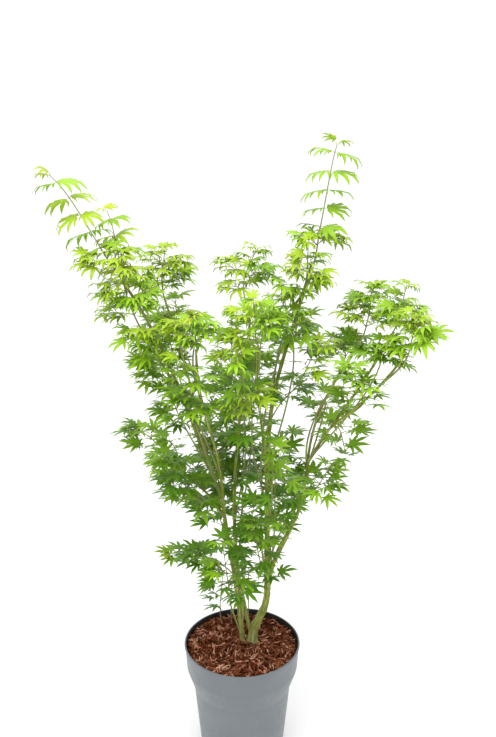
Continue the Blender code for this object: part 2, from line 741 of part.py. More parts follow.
def fuse_mass(growth, parts, sections):
    """Fuse a mass's shoot, side twigs and leaves into one mesh object."""
    mass = growth.mass
    pieces = new_collection(mass.name + "_pieces", hidden=True)
    for root, tip, radius in growth.twigs:
        tube("twig", [(root, radius), (tip, TWIG_TIP)], sections[3], pieces)
    for root, ahead, blade, petiole in growth.leaves:
        make_leaf(root, ahead, blade, petiole, pieces)
    shoot = tube(mass.name, mass.path(), sections[3], parts)
    fusing = shoot.modifiers.new("fuse", "BOOLEAN")
    fusing.operation = "UNION"
    fusing.operand_type = "COLLECTION"
    fusing.collection = pieces
    fusing.solver = "MANIFOLD"
    bpy.context.view_layer.update()
    fused = bake(shoot, mass.name, parts, weld=False)
    for piece in list(pieces.objects):
        bpy.data.objects.remove(piece, do_unlink=True)
    bpy.data.collections.remove(pieces)
    return fused


def make_mass(mass, room, parts, sections):
    """Grow a mass, and grow it again from the next seed if it doesn't fuse closed."""
    for attempt in range(MOST_ATTEMPTS):
        growth = Growth(mass, room, attempt)
        growth.grow()
        fused = fuse_mass(growth, parts, sections)
        if keep_main_body(fused.data):
            return fused, len(growth.leaves)
        bpy.data.objects.remove(fused, do_unlink=True)
    raise RuntimeError(mass.name + " does not fuse into a closed solid")


# ------------------------------------------------------------------------- main

def main():
    clear_scene()
    parts = new_collection("potted_japanese_maple")
    cutters = new_collection("drain_cutters", hidden=True)
    construction = new_collection("tube_sections", hidden=True)
    assembly = bpy.data.objects.new("potted_japanese_maple", None)
    parts.objects.link(assembly)

    plastic = principled("pot_plastic", (0.42, 0.45, 0.49), 0.5)
    bark_chips = principled("bark_mulch", (0.16, 0.07, 0.04), 0.9)
    bark = principled("bark", (0.30, 0.31, 0.13), 0.6)
    tints = [principled(f"foliage_{index}", colour, 0.5)
             for index, colour in enumerate(LEAF_TINTS)]

    sections = {}
    for sides in (3, 6, 8):
        ring = bpy.data.objects.new(f"section_{sides}", limb_section(sides))
        construction.objects.link(ring)
        sections[sides] = ring

    finish_part(make_pot(parts, cutters), plastic, assembly, smooth=True)
    finish_part(make_mulch(parts), bark_chips, assembly)
    limbs, solids = make_limbs(parts, sections)
    for solid in solids.values():
        finish_part(solid, bark, assembly, smooth=True)

    masses = [Mass(name, limbs) for name in MASSES]
    room = Room(limbs, masses)
    total_leaves = 0
    for mass in masses:
        fused, leaf_count = make_mass(mass, room, parts, sections)
        finish_part(fused, leaf_tint(mass.apex.z, tints), assembly)
        total_leaves += leaf_count
        print(mass.name, leaf_count)
    print("leaves:", total_leaves)


main()
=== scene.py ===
"""The potted Japanese maple: leaves, twigs, bark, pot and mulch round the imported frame.

Units are metres, +Z is up, -Y is the front and the origin is the middle of the
pot's underside. Every surface is worked out with numpy as whole arrays.
"""

import math
import random
from collections import namedtuple

import bpy
import numpy as np
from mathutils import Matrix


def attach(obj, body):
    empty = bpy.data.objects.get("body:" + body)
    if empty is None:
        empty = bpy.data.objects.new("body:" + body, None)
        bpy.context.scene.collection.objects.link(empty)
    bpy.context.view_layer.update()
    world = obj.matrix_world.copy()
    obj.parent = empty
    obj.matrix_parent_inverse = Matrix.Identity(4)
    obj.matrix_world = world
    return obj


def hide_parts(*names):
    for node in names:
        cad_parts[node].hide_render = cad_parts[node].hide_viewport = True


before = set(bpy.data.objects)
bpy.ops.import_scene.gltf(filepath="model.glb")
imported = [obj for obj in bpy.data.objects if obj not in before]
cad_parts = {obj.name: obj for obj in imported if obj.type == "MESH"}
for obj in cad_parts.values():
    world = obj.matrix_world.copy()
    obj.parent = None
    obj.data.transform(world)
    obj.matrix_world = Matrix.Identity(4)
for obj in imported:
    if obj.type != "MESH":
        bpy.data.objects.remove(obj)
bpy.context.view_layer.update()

# ---------------- sizes

UP = np.array([0.0, 0.0, 1.0])
ASKEW = np.array([0.31, 0.53, 0.79])  # a direction that no stem runs along

# The pot.
POT_HEIGHT = 0.265
RIM_RADIUS = 0.12
BAND_EDGE = 0.0036  # the rim band's lower edge and foot, below the top
BAND_FOOT = 0.0045
BAND_SETBACK = 0.0018  # how far the wall stands back under the band
LIP_WIDTH = 0.0032  # the rim's flat top
LIP_CORNER = (0.0033, 0.0006)  # its inner corner, in from the edge and down
COLLAR_RADIUS = 0.1155
COLLAR_FOOT = 0.212
SHOULDER_FOOT = 0.167
BODY_RADIUS = 0.101
FOOT_RADIUS = 0.086
WALL = 0.002
FLOOR_TOP = 0.009
FLOOR_SPREAD = 0.001  # how much wider the pot is at its floor than at its foot
CHANNEL = (0.042, 0.046, 0.070, 0.074)  # radii of the drainage channel's corners
CHANNEL_RISE = 0.006
DRAIN_HOLES = 8
DRAIN_RADIUS = 0.006
DRAIN_SIDES = 20
DRILL_FOOT = -0.01
DRILL_LENGTH = 0.03
POT_SIDES = 112
POT_EASE = 0.004  # how far the pot's corners are rounded
EASE_STEPS = 4
EASE_LIMIT = 0.45  # and never by more than this share of an edge

# The mulch.
SOIL_Z = 0.252
BED_RADIUS = 0.115
BED_GAP = 0.0006  # between the fill and the pot
BED_FOOT = 0.001  # how far the fill starts above the floor
BED_EDGE = (0.246, 0.250)  # where its side ends, and the height whose radius its top has
BED_CORE = 0.004  # radius of its innermost ring
BED_RINGS = 34
BED_DROP = 0.0005
BED_RAISE = 0.0025  # how much higher the bed stands at the wall
BED_WAVES = (0.0013, 0.0010, 0.0007, 0.0005)
CHIP_SEED = 7
CHIP_RINGS = 5
CHIP_CORNERS = np.array([[1.0, 0.8], [-1.0, 1.0], [-0.9, -1.0], [0.9, -0.8]])
CHIP_CUT = (0.55, 1.0)  # lengths as a share of those drawn for the kind
CHIP_THICKNESS = (0.0005, 0.0014)
CHIP_STOUTNESS = 2.0  # how much a kind's least width adds to the thickness of its chips
CHIP_TAPER = 0.97  # how nearly its ends close
CHIP_TIP = 0.02
CHIP_RAGGED = (0.75, 1.2)
CHIP_BEND = 0.10
CHIP_PITCH = 0.30
CHIP_ROLL = 0.55
CHIP_SPREAD = 0.1135  # the disc that the chips are strewn on
CHIP_CLEAR = 0.46  # share of its length that a chip keeps from the wall
CHIP_PILE = 0.0036

# Limbs and their bark.
LIMB_STEPS = 60
LIMB_ROW = 0.0025  # spacing of the rings of vertices along a limb
LIMB_ROWS_LEAST = 24
LIMB_SIDES = 12
ROOT_DEPTH = 0.006
ROOT_FLARE = 0.42  # how much a limb widens where it leaves the mulch
FORK_FLARE = 0.30  # and where it leaves a fork
FLARE_REACH = 1.9  # in radii
RING_SPACING = 0.042  # from one leaf scar ring to the next
RING_PHASE = 0.37  # shift of the rings for each letter of the limb's name
RING_WIDTH = 0.0016
RING_SWELL = 0.07
NODE_WIDTH = 0.005
NODE_SWELL = 0.10
# Low waves of the bark: height, count round the limb, and radians in a length.
BARK_WAVES = ((0.030, 3, 9, 0.05), (0.022, 5, -4, 0.03), (0.016, 2, 31, 0.11))
BARK_FOOT = 0.10  # height of the rougher, greyer foot above the mulch
RIDGES = (0.6, 1.6)  # strength of the waves, and how much the foot adds
GRAIN_SHIFT = 3.1
WAY_STEP = 0.02  # how far to either side a stem's direction is taken, as a share of it
UPRIGHT = 0.05  # a stem this near upright has no level side of its own

# Shoots: the stems of the masses of foliage.
SHOOT_BASE = 0.0021
SHOOT_TIP = 0.0008
SHOOT_START = 0.35
SHOOT_LIFT = 0.12
SHOOT_CREST = 0.7
SHOOT_STEPS = 24
SHOOT_ROWS = 12
LEAD_IN = 0.004
FORK_RUN = (0.15, 0.34)  # a mass's stem leaves its bough this far below its seat
FORK_LOWEST = 0.04  # but no lower than this share of the bough
FORK_AT_TIP = 0.3  # share of that run, for a mass at its bough's tip
FORK_JOINT = 0.22  # where along the shoot its lower part joins it
FORK_BOW = 0.10  # how far it stands off its bough, as a share of its run
FORK_TURN = 0.6
FORK_HANDLES = (0.35, 0.30)  # how far it leads on at either end, as shares of its run
FORK_WAY = 0.3  # where on the shoot its direction is taken
FORK_STEPS = 18
SHOOT_SPACING = 0.027  # from one pair on a shoot to the next
LEADER_SPACING = 0.033
TWIG_END = 0.68  # side twigs stand below this share, leaves above it
LEADER_TWIG_END = 0.18
LAST_PAIR = 0.94  # how far along its shoot the last pair stands
LEAST_NODES = 4
NODE_TURN = 0.3
SHORT_SHOOT = 0.09
BARE_SHARE = 0.25  # how much is bare of what a shoot is longer than that
BARE_LEAST = 0.014
LEADERS = ("leader_left", "leader_right", "leader_left_second")

# Side twigs.
TWIG_BASE = 0.0010
TWIG_TIP = 0.0006
TWIG_SIDES = 5
TWIG_FOOT = 1.5  # how much a twig is swollen at its foot
TWIG_STEPS = 7
TWIG_REACH = (1.1, 0.5)  # of the mass's reach: at the shoot's foot, less towards its tip
TWIG_LENGTHS = (0.55, 0.95)
TWIG_LEVELLING = 0.6
TWIG_MIDDLE = 0.55
TWIG_HANDLE = 0.6
TWIG_ARCH = 0.06
TWIG_DROOP = 0.12
TWIG_SPACING = 0.0185
CLOSENESS = (0.85, 0.90)  # of the pairs: low in the plant, and what height adds
INNER_THINNING = 0.45  # share of the pairs missing from a twig at the crown's axis
MIDDLE_THINNING = 0.40  # the same, at the crown's thinnest level
MOST_THINNING = 0.8
THIN_HEIGHT = 0.74
THIN_SPREAD = 0.18
PAIR_LEAD = 0.9
PAIRS_END = 0.93
BASAL_SIDES = 7
BASAL_STEPS = 14
BASAL_TAPER = 0.7

# Leaves, and the room that each keeps.
LOW_HEIGHT = 0.50  # the foliage changes from low to high between these
HIGH_HEIGHT = 1.08
CROWN_AXIS = 0.02
CROWN_RADIUS = 0.16
MOST_LEAVES = 6000
LIMB_SAMPLES = 90
LEAF_SPACING = 0.0125
SPACING_SHARES = (1.25, 0.62)  # of that spacing: low in the plant, and less with height
FOLIAGE_FLOOR = 0.385  # no leaf tip hangs lower than this
POT_ROOM = 0.02  # from the pot to a leaf's middle
TIP_ROOM = (0.01, 0.008)  # from the pot to a leaf's tip, outwards and upwards
BARK_ROOM = 0.003
BLADE = 0.045
BLADE_LESS = 0.004  # how much shorter a blade is at the top
BLADE_SCATTER = (0.82, 1.14)
TWIG_LEAF = (0.95, 0.10)  # size at a twig's foot, less towards its tip
TWIG_TIP_LEAF = 0.75
SHOOT_LEAF = (1.0, 0.18)
LEADER_LEAF = 1.38
TIP_LEAF = 0.74
STALK_SCATTER = (0.75, 1.25)
STALK_PARTS = (0.6, 0.4)  # shares of a stalk below and above its bend
SPREAD_ANGLE = math.radians(52)
TURNS = (0.0, 0.4, -0.4, 0.8, -0.8)  # tried in this order till a leaf has room
LEADER_TURN = 0.6
LEAF_LEVELLING = 0.10
LEAF_NOD = (-0.04, 0.17)
LEAF_TILT = 0.22
LEAF_MIDDLE = 0.45
LEAF_END = 0.9
CURL = (0.35, 2.2, 0.35)  # low in the plant, what height cubed adds, and scatter
CURL_LEAST = 0.2
CURL_LIMIT = 2.6
ARCH = (0.30, 0.40)  # the most by chance, and what height cubed adds
SPREAD_SCATTER = (0.86, 1.08)
# How a leaf is held: the angle at which its stalk leaves, how much the stalk and
# the blade are turned up, how far it has opened, and its stalk as a share of the blade.
HABITS = {
    "plain": (SPREAD_ANGLE, 0.40, 0.0, 1.0, 0.45),
    "leader": (math.radians(80), 0.05, 0.0, 0.68, 0.10),
    "tip": (math.radians(30), 0.20, 0.15, 0.88, 0.35),
}

# Leaf colours from the shaded foot of the plant to its newest tips: piece name, slot
# name and colour.
TINTS = [
    ("leaves_deep", "leaf_deep", (0.102, 0.238, 0.014)),
    ("leaves_mid", "leaf_mid", (0.165, 0.322, 0.018)),
    ("leaves_fresh", "leaf_fresh", (0.226, 0.404, 0.016)),
    ("leaves_lime", "leaf_lime", (0.290, 0.428, 0.018)),
    ("leaves_gold", "leaf_lime", (0.350, 0.425, 0.018)),
]
# A spray's place among them: where it starts, and how much height, height cubed and
# nearness to a tip add, and depth in the crown takes away as painted shade.
TINT_SHARES = (0.18, 0.18, 0.30, 0.14, 0.20)
TINT_SCATTER = 0.14
GOLD_FROM = 0.60  # only sprays this near a tip take the palest tint
LEADER_SHADE = 1.4  # how much nearer its foot a leader's leaf counts for its tint

# Lobes of a leaf: angle from the middle in degrees, and length as a share of the blade.
LOBES = ((-118, 0.42), (-73, 0.72), (-36, 0.92), (0, 1.0), (36, 0.92), (73, 0.72), (118, 0.42))
NOTCH = 0.34  # how far out the notches lie, as a share of the lobes
# How far out each pair of edge points lies along a lobe, and how far to the side.
LOBE_EDGES = ((0.62, 0.098), (0.86, 0.036))
LOBE_FOLD = 0.22  # how much a lobe's edges stand above its midrib
LOBE_TURN = 0.06
LOBE_LENGTHS = (0.88, 1.08)
LOBE_WIDTHS = (0.85, 1.15)
CURL_WIDTH = (1.08, 0.10)  # a lobe's width, and how much its curl takes off
HEEL = (0.10, 0.6)  # the two points beside the stalk: reach, and turn from a lobe
CURL_STEPS = 50
PETIOLE_RADIUS = 0.00045
PETIOLE_SWELL = np.array([1.35, 1.0, 0.9, 1.0])

# Floor, light and camera.
FLOOR_RINGS = (0.0005, 0.4, 1.0, 3.0, 12.0, 60.0)
FLOOR_SIDES = 48
FLOOR_Z = -0.0004
FLOOR_TONE = 0.95
SKY_STRENGTH = 1.16
# Each soft lamp: where it hangs, what it points at, its width and its power in watts.
LAMPS = {
    "key": ((-1.5, -2.0, 3.2), (0.0, 0.0, 0.8), 2.0, 26.0),
    "overhead": ((0.2, -0.7, 3.4), (0.0, 0.0, 0.9), 1.5, 38.0),
}
SENSOR = 36.0
FOCAL_SHARE = 900.0 / 737.0  # focal length over the height of the frame
CAMERA_PLACE = (0.01227, -1.59804, 1.40436)
CAMERA_TILT = 18.65  # degrees below level

# Each limb: its parent and how far along the parent it leaves, or for a stem out of
# the mulch no parent and where it stands, then two points that bend it, its tip, and
# its radius at the foot and the tip.
LIMBS = {
    "trunk": (None, (0.021, 0.018), (0.020, 0.016, 0.312), (0.051, 0.012, 0.312),
        (0.052, 0.008, 0.385), 0.0100, 0.0062),
    "stem_left": (None, (0.001, 0.019), (-0.006, 0.014, 0.385), (-0.027, 0.006, 0.477),
        (-0.039, 0.000, 0.598), 0.0055, 0.0036),
    "bough_middle": ("trunk", 0.14, (-0.072, 0.075, 0.545), (0.044, 0.052, 0.945),
        (0.008, 0.065, 0.981), 0.0046, 0.0020),
    "bough_leader": ("trunk", 1.0, (0.046, -0.004, 0.867), (0.049, 0.026, 0.747),
        (0.129, 0.020, 1.063), 0.0060, 0.0023),
    "bough_right_low": ("trunk", 0.95, (0.072, 0.000, 0.545), (0.113, 0.000, 0.485),
        (0.129, 0.000, 0.673), 0.0042, 0.0030),
    "bough_left_outer": ("stem_left", 1.0, (-0.093, -0.019, 0.742), (-0.122, -0.035, 0.905),
        (-0.210, -0.045, 1.043), 0.0034, 0.0021),
    "bough_left_back": ("bough_left_outer", 0.28, (-0.082, 0.030, 0.757), (-0.105, 0.071, 0.840),
        (-0.148, 0.090, 0.974), 0.0026, 0.0021),
    "bough_left_front": ("stem_left", 0.93, (-0.038, -0.035, 0.750), (-0.081, -0.056, 0.776),
        (-0.079, -0.090, 0.930), 0.0028, 0.0021),
    "bough_centre_front": ("bough_leader", 0.26, (0.045, -0.040, 0.795), (0.026, -0.055, 0.790),
        (0.026, -0.090, 0.930), 0.0028, 0.0021),
    "bough_right_outer": ("bough_right_low", 1.0, (0.170, -0.005, 0.758), (0.202, -0.030, 0.798),
        (0.274, -0.030, 0.939), 0.0028, 0.0020),
    "bough_right_inner": ("bough_right_low", 0.93, (0.135, 0.035, 0.774), (0.178, 0.059, 0.799),
        (0.234, 0.080, 0.907), 0.0026, 0.0020),
    "bough_right_side": ("bough_right_outer", 0.30, (0.197, -0.043, 0.790), (0.247, -0.075, 0.842),
        (0.287, -0.100, 0.924), 0.0026, 0.0021),
    "bough_mid_left": ("stem_left", 0.86, (-0.070, 0.028, 0.615), (-0.123, 0.040, 0.621),
        (-0.158, 0.060, 0.668), 0.0026, 0.0021),
}

# Each mass of foliage: the limb that bears it, how far along that limb (1 is its
# tip), the place its shoot grows to, and its reach to either side of the shoot.
MASSES = {
    "leader_left": ("bough_left_outer", 1.0, (-0.319, -0.060, 1.226), 0.045),
    "crown_left_outer": ("bough_left_outer", 0.91, (-0.207, -0.070, 1.083), 0.046),
    "crown_left_side": ("bough_left_outer", 0.72, (-0.166, -0.105, 0.968), 0.050),
    "mid_left_outer": ("bough_left_outer", 0.58, (-0.181, -0.020, 0.884), 0.046),
    "mid_left_inner": ("bough_left_outer", 0.4, (-0.135, -0.065, 0.864), 0.030),
    "leader_left_second": ("bough_left_outer", 0.82, (-0.239, 0.020, 1.153), 0.052),
    "crown_left_top": ("bough_left_back", 1.0, (-0.147, 0.105, 1.068), 0.066),
    "crown_left_right": ("bough_left_back", 0.74, (-0.131, 0.130, 0.963), 0.060),
    "crown_left_back": ("bough_left_back", 0.55, (-0.174, 0.165, 0.936), 0.062),
    "front_left_top": ("bough_left_front", 1.0, (-0.082, -0.120, 0.992), 0.052),
    "front_left_low": ("bough_left_front", 0.7, (-0.098, -0.165, 0.930), 0.050),
    "crown_centre_top": ("bough_middle", 1.0, (0.027, 0.060, 1.076), 0.070),
    "crown_centre_left": ("bough_middle", 0.75, (-0.019, 0.022, 0.966), 0.048),
    "crown_centre_back": ("bough_middle", 0.67, (0.050, 0.165, 0.925), 0.066),
    "mid_centre_left": ("bough_middle", 0.5, (-0.042, 0.100, 0.855), 0.054),
    "mid_centre_back": ("bough_middle", 0.42, (0.010, 0.150, 0.775), 0.064),
    "low_centre_inner": ("bough_middle", 0.3, (-0.075, 0.125, 0.690), 0.056),
    "front_centre_top": ("bough_centre_front", 1.0, (0.022, -0.110, 1.020), 0.056),
    "front_centre_low": ("bough_centre_front", 0.55, (-0.007, -0.165, 0.938), 0.053),
    "leader_right": ("bough_leader", 1.0, (0.168, 0.020, 1.271), 0.050),
    "neck_right": ("bough_leader", 0.93, (0.118, -0.040, 1.109), 0.048),
    "crown_right_centre": ("bough_leader", 0.81, (0.073, -0.045, 1.035), 0.052),
    "crown_right_low": ("bough_leader", 0.74, (0.111, 0.055, 0.989), 0.040),
    "mid_right_shoot": ("bough_leader", 0.62, (0.147, -0.035, 0.924), 0.028),
    "mid_centre_right": ("bough_leader", 0.34, (0.100, 0.095, 0.689), 0.056),
    "mid_centre_front": ("bough_leader", 0.25, (0.060, -0.110, 0.745), 0.054),
    "low_centre_right": ("bough_leader", 0.1, (0.020, -0.100, 0.593), 0.044),
    "crown_right_left": ("bough_right_inner", 1.0, (0.254, 0.100, 0.996), 0.066),
    "crown_right_arm": ("bough_right_inner", 0.8, (0.205, 0.110, 0.900), 0.046),
    "mid_right_back": ("bough_right_inner", 0.5, (0.180, 0.145, 0.697), 0.042),
    "crown_right_top": ("bough_right_outer", 1.0, (0.298, -0.015, 1.025), 0.058),
    "crown_right_front": ("bough_right_outer", 0.82, (0.262, -0.056, 0.927), 0.060),
    "mid_right_low": ("bough_right_outer", 0.3, (0.203, 0.020, 0.686), 0.044),
    "crown_right_outer": ("bough_right_side", 1.0, (0.299, -0.118, 0.999), 0.052),
    "mid_right_front": ("bough_right_side", 0.52, (0.185, -0.135, 0.913), 0.046),
    "low_right_side": ("bough_right_low", 0.8, (0.170, -0.010, 0.662), 0.044),
    "low_right_inner": ("bough_right_low", 0.62, (0.090, 0.085, 0.595), 0.056),
    "low_right_foot": ("bough_right_low", 0.3, (0.033, 0.070, 0.540), 0.042),
    "low_left_top": ("bough_mid_left", 0.55, (-0.148, -0.085, 0.725), 0.030),
    "low_left_spray": ("stem_left", 0.58, (-0.136, -0.020, 0.482), 0.034),
    "mid_left_spray": ("bough_mid_left", 1.0, (-0.215, 0.070, 0.716), 0.042),
    "low_left_inner": ("bough_mid_left", 0.3, (-0.135, -0.030, 0.731), 0.044),
    "low_centre_foot": ("stem_left", 0.4, (-0.038, -0.090, 0.545), 0.052),
}

# Thin grey basal shoots that rise from the mulch behind the stems: knots and radius.
BASAL_SHOOTS = [
    ([(-0.046, 0.082, 0.247), (-0.050, 0.070, 0.300), (-0.046, 0.058, 0.345),
      (-0.040, 0.046, 0.392)], 0.0011),
    ([(-0.022, 0.078, 0.247), (-0.026, 0.066, 0.300), (-0.024, 0.056, 0.345),
      (-0.018, 0.046, 0.400)], 0.0012),
    ([(0.012, 0.080, 0.247), (0.014, 0.068, 0.300), (0.012, 0.058, 0.345),
      (0.014, 0.046, 0.410)], 0.0013),
    ([(0.036, 0.072, 0.247), (0.042, 0.062, 0.300), (0.048, 0.052, 0.345),
      (0.050, 0.042, 0.392)], 0.0013),
]

# Kinds of chip: piece, how many, darker and lighter colour, the spread of their
# lengths, and the spread of their widths as a share of the length.
CHIPS = [
    ("mulch_chips_dark", 1000, (0.036, 0.005, 0.001), (0.132, 0.036, 0.013),
     (0.009, 0.022), (0.10, 0.30)),
    ("mulch_chips_red", 1050, (0.098, 0.022, 0.007), (0.345, 0.122, 0.062),
     (0.010, 0.030), (0.06, 0.20)),
    ("mulch_chips_tan", 330, (0.310, 0.124, 0.060), (0.800, 0.500, 0.340),
     (0.012, 0.036), (0.04, 0.13)),
    ("mulch_chunks", 46, (0.280, 0.085, 0.045), (0.680, 0.370, 0.260),
     (0.013, 0.026), (0.32, 0.60)),
]


# ---------------- arrays

def unit(vectors):
    """Each vector divided by its length."""
    return vectors / np.maximum(np.linalg.norm(vectors, axis=-1, keepdims=True), 1e-12)


def around(sides, first=0.0):
    """Equal angles round a circle, from the first one on."""
    return (np.arange(sides) + first) * (2 * math.pi / sides)


def on_circle(radius, angles, height):
    """Points at a radius times (cosine, sine) of their angle, and at a height."""
    return np.stack(np.broadcast_arrays(radius * np.cos(angles), radius * np.sin(angles),
                                        height), axis=-1)


def quadratic(start, bend, end, t):
    """A curve: its points weighted by (1 - t) squared, 2 t (1 - t) and t squared."""
    return start * (1 - t) ** 2 + bend * 2 * t * (1 - t) + end * t ** 2


def bezier(points, steps):
    """A cubic curve: each point weighted by the binomial terms of its share."""
    a, b, c, d = np.asarray(points, dtype=float)
    t = np.linspace(0.0, 1.0, steps)[:, None]
    rest = 1.0 - t
    return a * rest ** 3 + b * 3 * rest ** 2 * t + c * 3 * rest * t ** 2 + d * t ** 3


def sweep(paths, radii, sides):
    """Round tubes: each ring is its path point plus radius times (cosine, sine) on two axes.

    paths is (tubes, rows, 3) and radii (tubes, rows) or (tubes, rows, sides). The
    axes are square to the path, levelled against one reference for each tube.
    """
    tangents = unit(np.gradient(paths, axis=1))
    chord = unit(paths[:, -1:] - paths[:, :1])
    reference = unit(np.cross(chord, ASKEW))
    across = unit(reference - tangents * np.sum(reference * tangents, axis=-1, keepdims=True))
    other = np.cross(tangents, across)
    angles = around(sides)
    if radii.ndim == 2:
        radii = radii[:, :, None]
    ring = (across[:, :, None] * np.cos(angles)[:, None]
            + other[:, :, None] * np.sin(angles)[:, None])
    return paths[:, :, None] + ring * radii[..., None]


def tube_faces(tubes, rows, sides, capped=True):
    """Quads between neighbouring rings, counted round and along, and end polygons."""
    base = (np.arange(tubes) * rows * sides)[:, None, None]
    row = (np.arange(rows - 1) * sides)[None, :, None]
    side = np.arange(sides)
    near = base + row + side
    after = base + row + (side + 1) % sides
    faces = [np.stack([near, after, after + sides, near + sides], axis=-1).reshape(-1, 4)]
    if capped:
        foot = base[:, 0] + side[::-1]
        tip = base[:, 0] + (rows - 1) * sides + side
        faces += [foot, tip]
    return faces


def put_in_scene(name, data):
    """A new object that carries this data, linked to the scene."""
    thing = bpy.data.objects.new(name, data)
    bpy.context.scene.collection.objects.link(thing)
    return thing


class Piece:
    """Vertices, faces and point attributes gathered for one joined mesh."""

    def __init__(self):
        self.points = []
        self.faces = []
        self.values = {}
        self.count = 0

    def add(self, points, faces, **values):
        """Append a block: faces are arrays of equal-sided polygons, values one to a point."""
        points = np.asarray(points, dtype=float).reshape(-1, 3)
        self.points.append(points)
        self.faces += [block + self.count for block in faces]
        for name, value in values.items():
            self.values.setdefault(name, []).append(value)
        self.count += len(points)

    def make(self, name, material, replaced=(), smooth=True):
        """Write the arrays into a mesh object that rides on the root body."""
        points = np.concatenate(self.points)
        loops = np.concatenate([block.reshape(-1) for block in self.faces])
        totals = np.concatenate([np.full(len(block), block.shape[1]) for block in self.faces])
        starts = np.concatenate([[0], np.cumsum(totals)[:-1]])
        mesh = bpy.data.meshes.new(name)
        mesh.vertices.add(len(points))
        mesh.vertices.foreach_set("co", points.astype(np.float32).reshape(-1))
        mesh.loops.add(len(loops))
        mesh.loops.foreach_set("vertex_index", loops.astype(np.int32))
        mesh.polygons.add(len(totals))
        mesh.polygons.foreach_set("loop_start", starts.astype(np.int32))
        mesh.polygons.foreach_set("use_smooth", np.full(len(totals), smooth))
        for key, blocks in self.values.items():
            data = np.concatenate(blocks).astype(np.float32)
            kind, field = ("FLOAT_VECTOR", "vector") if data.ndim == 2 else ("FLOAT", "value")
            layer = mesh.attributes.new(key, kind, "POINT")
            layer.data.foreach_set(field, data.reshape(-1))
        mesh.update(calc_edges=True)
        mesh.validate()
        mesh.materials.append(material)
        thing = put_in_scene(name, mesh)
        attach(thing, "root")
        if replaced:
            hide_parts(*replaced)
        return thing


# ---------------- materials

NOISE_RANGE = (0.3, 0.7)  # a noise seldom leaves this range


class Finish:
    """A Principled material with small helpers for its node tree.

    The scale of a noise is in waves for each metre.
    """

    def __init__(self, name, roughness, specular=0.4):
        self.material = bpy.data.materials.new(name)
        self.material.use_nodes = True
        self.tree = self.material.node_tree
        self.shader = self.tree.nodes["Principled BSDF"]
        self.shader.inputs["Roughness"].default_value = roughness
        self.shader.inputs["Specular IOR Level"].default_value = specular
        self.object_space = self.node("ShaderNodeTexCoord").outputs["Object"]

    def node(self, kind, **settings):
        """A new node; a setting goes to the socket of that name, or else to the node."""
        made = self.tree.nodes.new(kind)
        for name, value in settings.items():
            if name in made.inputs:
                made.inputs[name].default_value = value
            else:
                setattr(made, name, value)
        return made

    def feed(self, value, socket):
        """Put a number, a colour or another node's output into a socket."""
        if isinstance(value, tuple):
            socket.default_value = (*value, 1.0)
        elif isinstance(value, (int, float)):
            socket.default_value = value
        else:
            self.tree.links.new(value, socket)

    def attribute(self, name, output="Fac"):
        """A value or a vector that the mesh carries at its points."""
        return self.node("ShaderNodeAttribute", attribute_name=name).outputs[output]

    def noise(self, scale, detail=3.0, vector=None, roughness=0.55):
        """Soft noise on the piece's own space, or on another vector."""
        made = self.node("ShaderNodeTexNoise", Scale=scale, Detail=detail, Roughness=roughness)
        self.feed(vector if vector is not None else self.object_space, made.inputs["Vector"])
        return made.outputs["Fac"]

    def stretched_noise(self, vector, scales, detail):
        """Noise drawn out along the axes whose scale is low."""
        made = self.node("ShaderNodeMapping", Scale=scales)
        self.feed(vector, made.inputs["Vector"])
        return self.noise(1.0, detail, made.outputs["Vector"])

    def span(self, value, low, high, to_low=0.0, to_high=1.0):
        """A value between low and high, moved to lie between the other two."""
        made = self.node("ShaderNodeMapRange")
        for number, socket in zip((value, low, high, to_low, to_high), made.inputs):
            self.feed(number, socket)
        return made.outputs[0]

    def maths(self, operation, a, b=0.0):
        """One sum, product or other operation on two values."""
        made = self.node("ShaderNodeMath", operation=operation)
        self.feed(a, made.inputs[0])
        self.feed(b, made.inputs[1])
        return made.outputs[0]

    def mix(self, share, first, second):
        """The first colour, turned towards the second by a share from 0 to 1."""
        made = self.node("ShaderNodeMix", data_type="RGBA")
        self.feed(share, made.inputs[0])
        self.feed(first, made.inputs[6])
        self.feed(second, made.inputs[7])
        return made.outputs[2]

    def layer(self, under, over, field, *limits):
        """One colour laid over another as strongly as a field, moved by span, says."""
        return self.mix(self.span(field, *limits), under, over)

    def colour(self, output):
        self.feed(output, self.shader.inputs["Base Color"])

    def roughness(self, field, low, high):
        """Roughness from low to high as the field goes over a noise's usual range."""
        self.feed(self.span(field, *NOISE_RANGE, low, high), self.shader.inputs["Roughness"])

    def bump(self, height, distance, strength=0.6):
        """Fine relief from a field, as deep as the distance in metres."""
        made = self.node("ShaderNodeBump", Strength=strength, Distance=distance)
        self.feed(height, made.inputs["Height"])
        self.feed(made.outputs["Normal"], self.shader.inputs["Normal"])


def scaled(colour, factor):
    """A colour with each channel multiplied by a factor, and kept to 1 at most."""
    return tuple(min(1.0, channel * factor) for channel in colour)


def leaf_finish(name, tint):
    """A leaf: tint varied by noise and by leaf, paler midribs, and fine cross veins."""
    made = Finish(name, 0.42, specular=0.20)
    pale = tuple(min(1.0, 0.55 * channel + extra)
                 for channel, extra in zip(tint, (0.15, 0.19, 0.012)))
    mottle = made.noise(55.0, 2.0)
    body = made.layer(scaled(tint, 0.82), scaled(tint, 1.14), mottle, *NOISE_RANGE)
    body = made.mix(made.attribute("shade"), body, scaled(tint, 1.35))
    edge = made.attribute("edge")
    body = made.layer(body, pale, edge, 0.0, 0.35, 0.42, 0.0)
    made.colour(made.layer(body, scaled(tint, 0.62), edge, 0.72, 1.0, 0.0, 0.22))
    made.roughness(made.noise(240.0), 0.38, 0.56)
    veins = made.maths("SINE", made.maths("MULTIPLY", made.attribute("along"), 60.0))
    made.bump(made.maths("ADD", made.maths("MULTIPLY", veins, 0.35), made.noise(600.0)),
              0.0003, 0.5)
    return made.material


